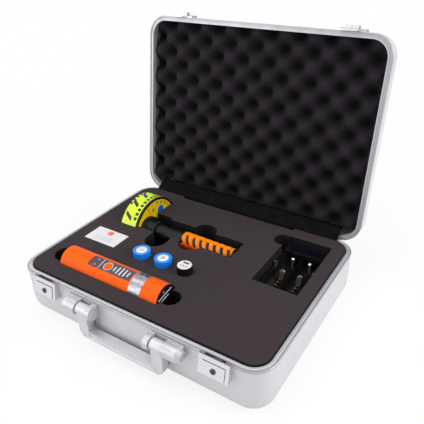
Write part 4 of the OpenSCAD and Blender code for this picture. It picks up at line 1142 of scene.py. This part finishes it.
@dataclass
class Transmitter:
    """The orange tube: its recessed panel, its lamps and its printed marks."""

    left: float = -157.0 * MM
    axis_y: float = -98.0 * MM
    axis_z: float = 72.5 * MM
    turn: float = 9.5
    panel_half: float = 9.2 * MM
    panel_top: float = 19.4 * MM
    foil_r: float = 21.7 * MM
    foil_turn: float = -23.5
    foil_marks: tuple[tuple[float, float], ...] = ((135.5, 143.0), (145.5, 151.0))
    cap_floor: float = 183.0 * MM
    cap_face: float = 184.0 * MM
    grooves: tuple[Point, ...] = ((0.0, 9.7, 14.6), (-1.5, 4.0, 8.0))  # y, z, half length
    button_x: float = 84.0 * MM
    lamp_x: float = 62.0 * MM
    lamp_y: float = 5.0 * MM
    lamp_r: float = 1.7 * MM
    divider_x: float = 71.0 * MM
    divider_w: float = 0.9 * MM
    bars: int = 5
    bar_x: float = 96.5 * MM
    bar_pitch: float = 6.4 * MM

    def frame(self) -> Matrix:
        """Returns the matrix from the tube's own frame to the row frame."""
        spot = Matrix.Translation((self.left, self.axis_y, self.axis_z))
        return spot @ Matrix.Rotation(math.radians(self.turn), 4, "X")

    def place(self, x: float, y: float, z: float) -> Point:
        """Carries a point of the panel to the row frame."""
        return tuple(self.frame() @ Vector((x, y, z)))

    def on_cap(self, y: float, z: float, h: float) -> Point:
        """Carries a point of the floor of the cap's grooves to the row frame."""
        return self.place(self.cap_floor + h, y, z)

    def print_ring(
        self, name: str, inner: float, outer: float, count: int, x: float, y: float,
        finish: Finish,
    ) -> None:
        """Prints a ring on the panel.

        Args:
            name: The piece's name.
            inner: The hole's radius.
            outer: The ring's radius.
            count: Corners round it.
            x: Its centre along the panel.
            y: Its centre across the panel.
            finish: Its ink.
        """
        low, high = self.panel_top + INK_LOW, self.panel_top + INK_HIGH
        edges = circle(inner, count, x, y), circle(outer, count, x, y)
        ring = collar(*edges, low, high, self.place)
        piece_from(name, ring, finish, Body.TRANSMITTER, smooth=False)

    def build(self) -> None:
        """Dresses the tube and adds what is on its panel, its foil and its cap."""
        dress(FINISH.orange, Edge.EASED, "transmitter_tube", "transmitter_button")
        dress(FINISH.panel, Edge.CRISP, "transmitter_panel")
        dress(FINISH.foil, None, "transmitter_band")
        dress(FINISH.black, Edge.EASED, "transmitter_end_cap")
        dress(FINISH.board, None, "transmitter_board")
        dress(FINISH.wrap, Edge.EASED, "transmitter_cell")
        for index, y in enumerate((self.lamp_y, -self.lamp_y)):
            self.print_ring(
                f"panel_lamp_bezel_{index}", self.lamp_r, self.lamp_r + 1 * MM, 32,
                self.lamp_x, y, FINISH.ink_black,
            )
            foot = self.panel_top + INK_LOW
            lens = dome(self.lamp_r, 0.6 * MM, foot, self.place, self.lamp_x, y)
            piece_from(f"panel_lamp_{index}", lens, FINISH.lens, Body.TRANSMITTER)
        print_mark(
            "panel_divider",
            block(self.divider_x, 0.0, self.divider_w / 2, self.panel_half),
            self.place, self.panel_top, FINISH.ink_white, Body.TRANSMITTER,
        )
        self.print_ring(
            "button_ring", 6.7 * MM, 7.6 * MM, 48, self.button_x, 0.0, FINISH.ink_white
        )
        self.grow_bars()
        self.mark_foil()
        self.paint_cap()

    def mark_foil(self) -> None:
        """Prints two plain dark dashes on the foil."""
        about = self.frame() @ Matrix.Rotation(math.radians(self.foil_turn), 4, "X")
        for index, (start, end) in enumerate(self.foil_marks):
            mark = wrapped(start * MM, end * MM, self.foil_r, 0.0, 8.0)
            mark.transform(about)
            piece_from(f"foil_mark_{index}", mark, FINISH.ink_black, Body.TRANSMITTER)

    def paint_cap(self) -> None:
        """Fills two grooves of the end cap with white paint and adds a pale dot over them."""
        for index, (y, z, half) in enumerate(self.grooves):
            outline = block(y * MM, z * MM, half * MM, 0.92 * MM)
            strip = slab(outline, INK_LOW, 0.9 * MM, self.on_cap)
            piece_from(
                f"cap_paint_{index}", strip, FINISH.ink_white, Body.END_CAP,
                smooth=False,
            )
        print_mark(
            "cap_dot", circle(1.2 * MM, 24, -1.6 * MM, 15.2 * MM), self.on_cap,
            self.cap_face - self.cap_floor, FINISH.ink_mint, Body.END_CAP,
        )

    def grow_bars(self) -> None:
        """Adds the row of plain bars beside the button, longest in the middle."""
        growth = Growth(
            "level_bars",
            {
                "Bars": self.bars,
                "Pitch": self.bar_pitch,
                "Width": 1.9 * MM,
                "Length": 14.6 * MM,
                "Shortest": 0.58,
            },
        )
        tree = growth.tree
        thick = 0.1 * MM
        size = add(tree, "ShaderNodeCombineXYZ", (growth["Width"], growth["Length"], thick))
        bar = add(tree, "GeometryNodeMeshCube", {"Size": size})
        step = add(tree, "ShaderNodeCombineXYZ", {"X": growth["Pitch"]})
        last = add(tree, "ShaderNodeMath", (growth["Bars"], 1.0), operation="SUBTRACT")
        index = add(tree, "GeometryNodeInputIndex")
        angle = add(tree, "ShaderNodeMath", (index, last), operation="DIVIDE")
        angle = add(tree, "ShaderNodeMath", (angle, math.pi), operation="MULTIPLY")
        swell = add(tree, "ShaderNodeMath", (angle,), operation="SINE")
        spare = add(tree, "ShaderNodeMath", (1.0, growth["Shortest"]), operation="SUBTRACT")
        length = (swell, spare, growth["Shortest"])
        length = add(tree, "ShaderNodeMath", length, operation="MULTIPLY_ADD")
        scale = add(tree, "ShaderNodeCombineXYZ", (1.0, length, 1.0))
        bars = growth.row(bar, "Bars", step, Scale=scale)
        spot = (self.bar_x, 0, self.panel_top + INK_HIGH - 0.04 * MM)
        move = self.frame() @ Matrix.Translation(spot)
        growth.grow(bars, FINISH.ink_white, Body.TRANSMITTER, move=move)


# ---------- the detector ----------


@dataclass
class Detector:
    """The arched head with its lime band and yellow face, and its slotted grip."""

    left: float = -158.0 * MM
    thick: float = 37.0 * MM
    arch_y: float = 66.0 * MM
    arch_z: float = 51.0 * MM
    band_r: float = 56.1 * MM
    lamp_r: float = 48.0 * MM
    side_lamp: tuple[float, float] = (62.5 * MM, 89.1 * MM)
    lens_foot: float = 0.55 * MM
    lens_rise: float = 0.3 * MM
    key_y: float = 81.4 * MM
    key_z: float = 80.0 * MM
    key_face: float = 1.2 * MM
    key_rise: float = 2.2 * MM

    def on_face(self, y: float, z: float, h: float) -> Point:
        """Carries a point of the yellow face, with a height off it, to the row frame."""
        return (self.left + self.thick + h, y, z)

    def grow_round(
        self, name: str, seed: Mesh, finish: Finish, slot: str, count: int, first: float,
        step: float,
    ) -> None:
        """Repeats a mark round the arch.

        Args:
            name: The row's name.
            seed: One mark at the top of the arch, about the arch's own axis.
            finish: Its finish.
            slot: Not used.
            count: How many marks there are.
            first: Angle of the first, in degrees towards the back.
            step: Angle from one to the next, in degrees.
        """
        growth = Growth(
            name,
            {
                "Marks": count,
                "First angle": math.radians(first),
                "Step angle": math.radians(step),
            },
        )
        tree = growth.tree
        angle = (add(tree, "GeometryNodeInputIndex"), growth["Step angle"], growth["First angle"])
        angle = add(tree, "ShaderNodeMath", angle, operation="MULTIPLY_ADD")
        angle = add(tree, "ShaderNodeMath", (angle, -1.0), operation="MULTIPLY")
        turn = add(tree, "ShaderNodeCombineXYZ", {"X": angle})
        turn = add(tree, "FunctionNodeEulerToRotation", (turn,))
        marks = growth.row(growth["Geometry"], "Marks", (0, 0, 0), Rotation=turn)
        move = Matrix.Translation((0, self.arch_y, self.arch_z))
        growth.grow(marks, finish, Body.DETECTOR, seed, move)

    def mark_band(self) -> None:
        """Prints slanted dashes and two rows of plain ticks on the lime band."""
        # Each row: start and end along the axis in mm, lean, width, count, first, step
        rows = {
            "band_dashes": (6.7, 21.0, 9.6, 7.0, 4, -46.0, 26.0),
            "band_ticks": (25.4, 31.4, 0.0, 5.6, 11, -48.0, 8.8),
            "band_short_ticks": (2.8, 8.2, 0.0, 5.0, 5, -22.5, 9.6),
        }
        for name, (start, end, lean, width, *spacing) in rows.items():
            start, end = self.left + start * MM, self.left + end * MM
            mark = wrapped(start, end, self.band_r, lean, width)
            self.grow_round(name, mark, FINISH.ink_black, "black", *spacing)

    def mark_face(self) -> None:
        """Adds the lamps' frosted lenses and the orange marks of the yellow face."""
        rise, foot = self.lens_rise, self.lens_foot
        centre = dome(1.25 * MM, rise, foot, self.on_face, 0.0, self.lamp_r, 20, 4)
        self.grow_round("lamp_centres", centre, FINISH.pale_lens, "lamp", 4, 10.0, 13.48)
        centre = dome(1.5 * MM, rise, foot, self.on_face, *self.side_lamp, 20, 4)
        piece_from("side_lamp_centre", centre, FINISH.pale_lens, Body.DETECTOR)
        marks = {
            "face_stripe": [(49.3, 97.8), (51.5, 84.2), (54.7, 84.0), (52.0, 97.8)],
            "face_wedge": [(61.1, 102.1), (59.0, 96.5), (63.5, 96.2)],
        }
        for name, corners in marks.items():
            outline = [(y * MM, z * MM) for y, z in corners]
            print_mark(
                name, outline, self.on_face, 0.0, FINISH.film_edge, Body.DETECTOR
            )

    def mark_key(self) -> None:
        """Adds the key's raised rim and its dark centre."""
        foot, spot = self.key_face + INK_LOW, (self.key_y, self.key_z)
        centre = dome(1.6 * MM, 0.5 * MM, foot, self.on_face, spot[0], spot[1] + 1.5 * MM)
        piece_from("key_centre", centre, FINISH.ink_black, Body.KEY_PAD)
        edges = [stadium(radius, self.key_rise, *spot) for radius in (5.2 * MM, 6.2 * MM)]
        rim = collar(*edges, foot, self.key_face + 0.3 * MM, self.on_face)
        piece_from("key_rim", rim, FINISH.blue_key, Body.KEY_PAD)

    def build(self) -> None:
        """Dresses the tool and adds the marks on its band and face."""
        dress(FINISH.black, Edge.SOFT, "detector_head", "detector_hub")
        dress(FINISH.lime, None, "detector_band")
        dress(FINISH.yellow, None, "detector_face")
        dress(FINISH.bezel, Edge.CRISP, "detector_lamps")
        dress(FINISH.blue_key, Edge.EASED, "detector_button")
        dress(FINISH.fins, Edge.EASED, "detector_grip")
        dress(FINISH.copper, None, "detector_coil")
        self.mark_band()
        self.mark_face()
        self.mark_key()


# ---------- cells, puck and charger ----------


@dataclass
class SmallThings:
    """The loose cells, the puck and the two-bay charger."""

    wire: float = 0.5 * MM
    turns: float = 6.0

    def dress(self) -> None:
        """Gives each piece its finish, winds the springs and prints the puck."""
        for side in SIDES:
            dress(FINISH.wrap, Edge.FULL, f"cell_{side}_can")
            dress(FINISH.wafer, None, f"cell_{side}_ring")
            dress(FINISH.nickel, Edge.CRISP, f"cell_{side}_terminal")
        dress(FINISH.black, Edge.SOFT, "test_puck")
        dress(FINISH.puck_top, Edge.EASED, "test_puck_cap")
        dress(FINISH.black, Edge.EASED, "charger_case")
        dress(FINISH.window, Edge.CRISP, "charger_window")
        dress(FINISH.nickel, None, "charger_contacts")
        dress(FINISH.slider, None, "charger_slider_left", "charger_slider_right")
        for side in SIDES:
            self.wind_spring(side)
        self.mark_puck()

    def wind_spring(self, side: str) -> None:
        """Winds a spring of round wire.

        Args:
            side: Which bay it lies in, left or right.
        """
        node = f"charger_spring_{side}"
        low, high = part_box(node)
        middle = (low + high) / 2
        length = high.y - low.y
        end = 1.1 * self.wire  # room for the wire's own thickness at each end
        growth = Growth(
            f"spring_wire_{side}",
            {
                "Turns": self.turns,
                "Coil radius": (high.x - low.x) / 2 - self.wire,
                "Length": length - 2 * end,
                "Wire radius": self.wire,
            },
        )
        tree = growth.tree
        path = {
            "Rotations": growth["Turns"],
            "Start Radius": growth["Coil radius"],
            "End Radius": growth["Coil radius"],
            "Height": growth["Length"],
            "Resolution": 24,
            "Reverse": True,
        }
        coil = add(tree, "GeometryNodeCurveSpiral", path)
        section = {"Radius": growth["Wire radius"], "Resolution": 10}
        section = add(tree, "GeometryNodeCurvePrimitiveCircle", section)
        swept = {"Curve": coil, "Profile Curve": section, "Fill Caps": True}
        wound = add(tree, "GeometryNodeCurveToMesh", swept)
        smooth = add(tree, "GeometryNodeSetShadeSmooth", {"Geometry": wound})
        place = Matrix.Translation((middle.x, low.y + end, middle.z))
        thing = growth.grow(
            smooth, FINISH.coil, Body.CHARGER,
            move=place @ Matrix.Rotation(-math.pi / 2, 4, "X"),
        )
        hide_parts(node)
        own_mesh(thing)

    def mark_puck(self) -> None:
        """Prints a plain bar and three dots on the puck's white disc."""
        low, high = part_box("test_puck_cap")
        x, y = (low.x + high.x) / 2, (low.y + high.y) / 2
        reach = (high.y - low.y) / 2
        half = 0.42 * reach
        shapes = {"puck_bar": block(0.0, 0.45 * reach, half, 1.4 * MM)}
        for index, side in enumerate((-1, 0, 1)):
            shapes[f"puck_dot_{index}"] = circle(1.1 * MM, 20, side * half, -0.25 * reach)
        for name, outline in shapes.items():
            print_mark(
                name, outline, lambda px, py, h: (x + px, y + py, high.z + h), 0.0,
                FINISH.ink_black, Body.PUCK,
            )


# ---------- the studio ----------


@dataclass
class Studio:
    """A white sweep, soft light from above and the camera."""

    eye: Vector = field(default_factory=lambda: Vector((0.36697, -0.49732, 0.51113)))
    azimuth: float = 0.5806
    elevation: float = 0.5277
    roll: float = -0.0253
    lens: float = 41.83
    floor: float = 24.0
    shadow_reach: tuple[float, float] = (0.45, 1.3)
    shadow_white: float = 0.82  # share of the floor that glows where the shadow falls
    fill: float = 0.52  # strength of the surroundings as a light

    def camera(self) -> None:
        """Sets the camera at its viewpoint."""
        az, el, roll = self.azimuth, self.elevation, self.roll
        back = Vector((math.sin(az) * math.cos(el), -math.cos(az) * math.cos(el), math.sin(el)))
        right = Vector((0, 0, 1)).cross(back).normalized()
        up = back.cross(right)
        across = right * math.cos(roll) + up * math.sin(roll)
        above = up * math.cos(roll) - right * math.sin(roll)
        turn = Matrix((across, above, back)).transposed().to_4x4()
        data = bpy.data.cameras.new("camera")
        data.lens = self.lens
        data.sensor_width = 36.0
        data.clip_start = 0.01
        eye = bpy.data.objects.new("camera", data)
        eye.matrix_world = Matrix.Translation(self.eye) @ turn
        bpy.context.scene.collection.objects.link(eye)
        bpy.context.scene.camera = eye

    def lamp(self, name: str, spot: Point, size: float, watts: float) -> None:
        """Hangs a square soft light that looks at the case.

        Args:
            name: The lamp's name.
            spot: Its place, in metres.
            size: The side of its panel, in metres.
            watts: Its power.
        """
        data = bpy.data.lights.new(name, "AREA")
        data.size = size
        data.energy = watts
        thing = bpy.data.objects.new(name, data)
        aim = Vector((0, 0, 0.1)) - Vector(spot)
        turn = aim.to_track_quat("-Z", "Y").to_matrix().to_4x4()
        thing.matrix_world = Matrix.Translation(spot) @ turn
        bpy.context.scene.collection.objects.link(thing)

    def world(self) -> None:
        """Makes the surroundings white to the eye and to gloss, and softer as a light."""
        world = bpy.data.worlds.new("studio")
        world.use_nodes = True
        tree = world.node_tree
        tree.nodes.clear()
        seen = add(tree, "ShaderNodeLightPath", out=None).outputs
        gloss = (seen["Is Glossy Ray"], seen["Is Transmission Ray"])
        white = (seen["Is Camera Ray"], add(tree, "ShaderNodeMath", gloss, operation="MAXIMUM"))
        white = add(tree, "ShaderNodeMath", white, operation="MAXIMUM")
        strength = {"Value": white, "To Min": self.fill, "To Max": 1.0}
        strength = add(tree, "ShaderNodeMapRange", strength)
        light = {"Strength": strength, "Color": (1, 1, 1, 1)}
        light = add(tree, "ShaderNodeBackground", light)
        add(tree, "ShaderNodeOutputWorld", {"Surface": light}, None)
        bpy.context.scene.world = world

    def ground(self) -> None:
        """Lays the white floor, which keeps the case's shadow."""
        material = bpy.data.materials.new("white paper sweep")
        material.use_nodes = True
        tree = material.node_tree
        tree.nodes.clear()
        paper = add(tree, "ShaderNodeBsdfDiffuse", {"Color": (0.92, 0.92, 0.92, 1.0)})
        glow = add(tree, "ShaderNodeEmission", {"Color": (1, 1, 1, 1), "Strength": 1.0})
        where = add(tree, "ShaderNodeTexCoord", out="Object")
        away = add(tree, "ShaderNodeVectorMath", (where,), "Value", operation="LENGTH")
        near, far = self.shadow_reach
        reach = {"Value": away, "From Min": near, "From Max": far, "To Min": self.shadow_white}
        seen = add(tree, "ShaderNodeLightPath", out="Is Camera Ray")
        share = (seen, add(tree, "ShaderNodeMapRange", reach))
        share = add(tree, "ShaderNodeMath", share, operation="MULTIPLY")
        mix = add(tree, "ShaderNodeMixShader", (share, paper, glow))
        add(tree, "ShaderNodeOutputMaterial", {"Surface": mix}, None)
        half = self.floor / 2
        mesh = loft([[(-half, y, 0), (half, y, 0)] for y in (-half, half)], False, False)
        data = bpy.data.meshes.new("floor")
        mesh.to_mesh(data)
        mesh.free()
        data.materials.append(material)
        floor = bpy.data.objects.new("floor", data)
        bpy.context.scene.collection.objects.link(floor)

    def build(self) -> None:
        """Sets up the whole studio."""
        self.camera()
        self.world()
        self.ground()
        self.lamp("overhead", (-0.35, -0.25, 1.5), 1.1, 9.0)
        self.lamp("side", (1.4, 0.25, 0.7), 0.9, 14.5)
        self.lamp("front", (-1.1, -1.35, 0.55), 1.3, 13.0)
        bpy.context.scene.view_settings.view_transform = "Standard"


def main() -> None:
    """Builds the looks of the case and its kit, in order."""
    logging.basicConfig(level=logging.INFO, format="%(name)s: %(message)s")
    Studio().build()
    CaseShells().dress()
    FoamInsert().build()
    LidPad().build()
    HingeCloth().build()
    PocketCard().build()
    Transmitter().build()
    Detector().build()
    SmallThings().dress()


if __name__ == "__main__":
    main()
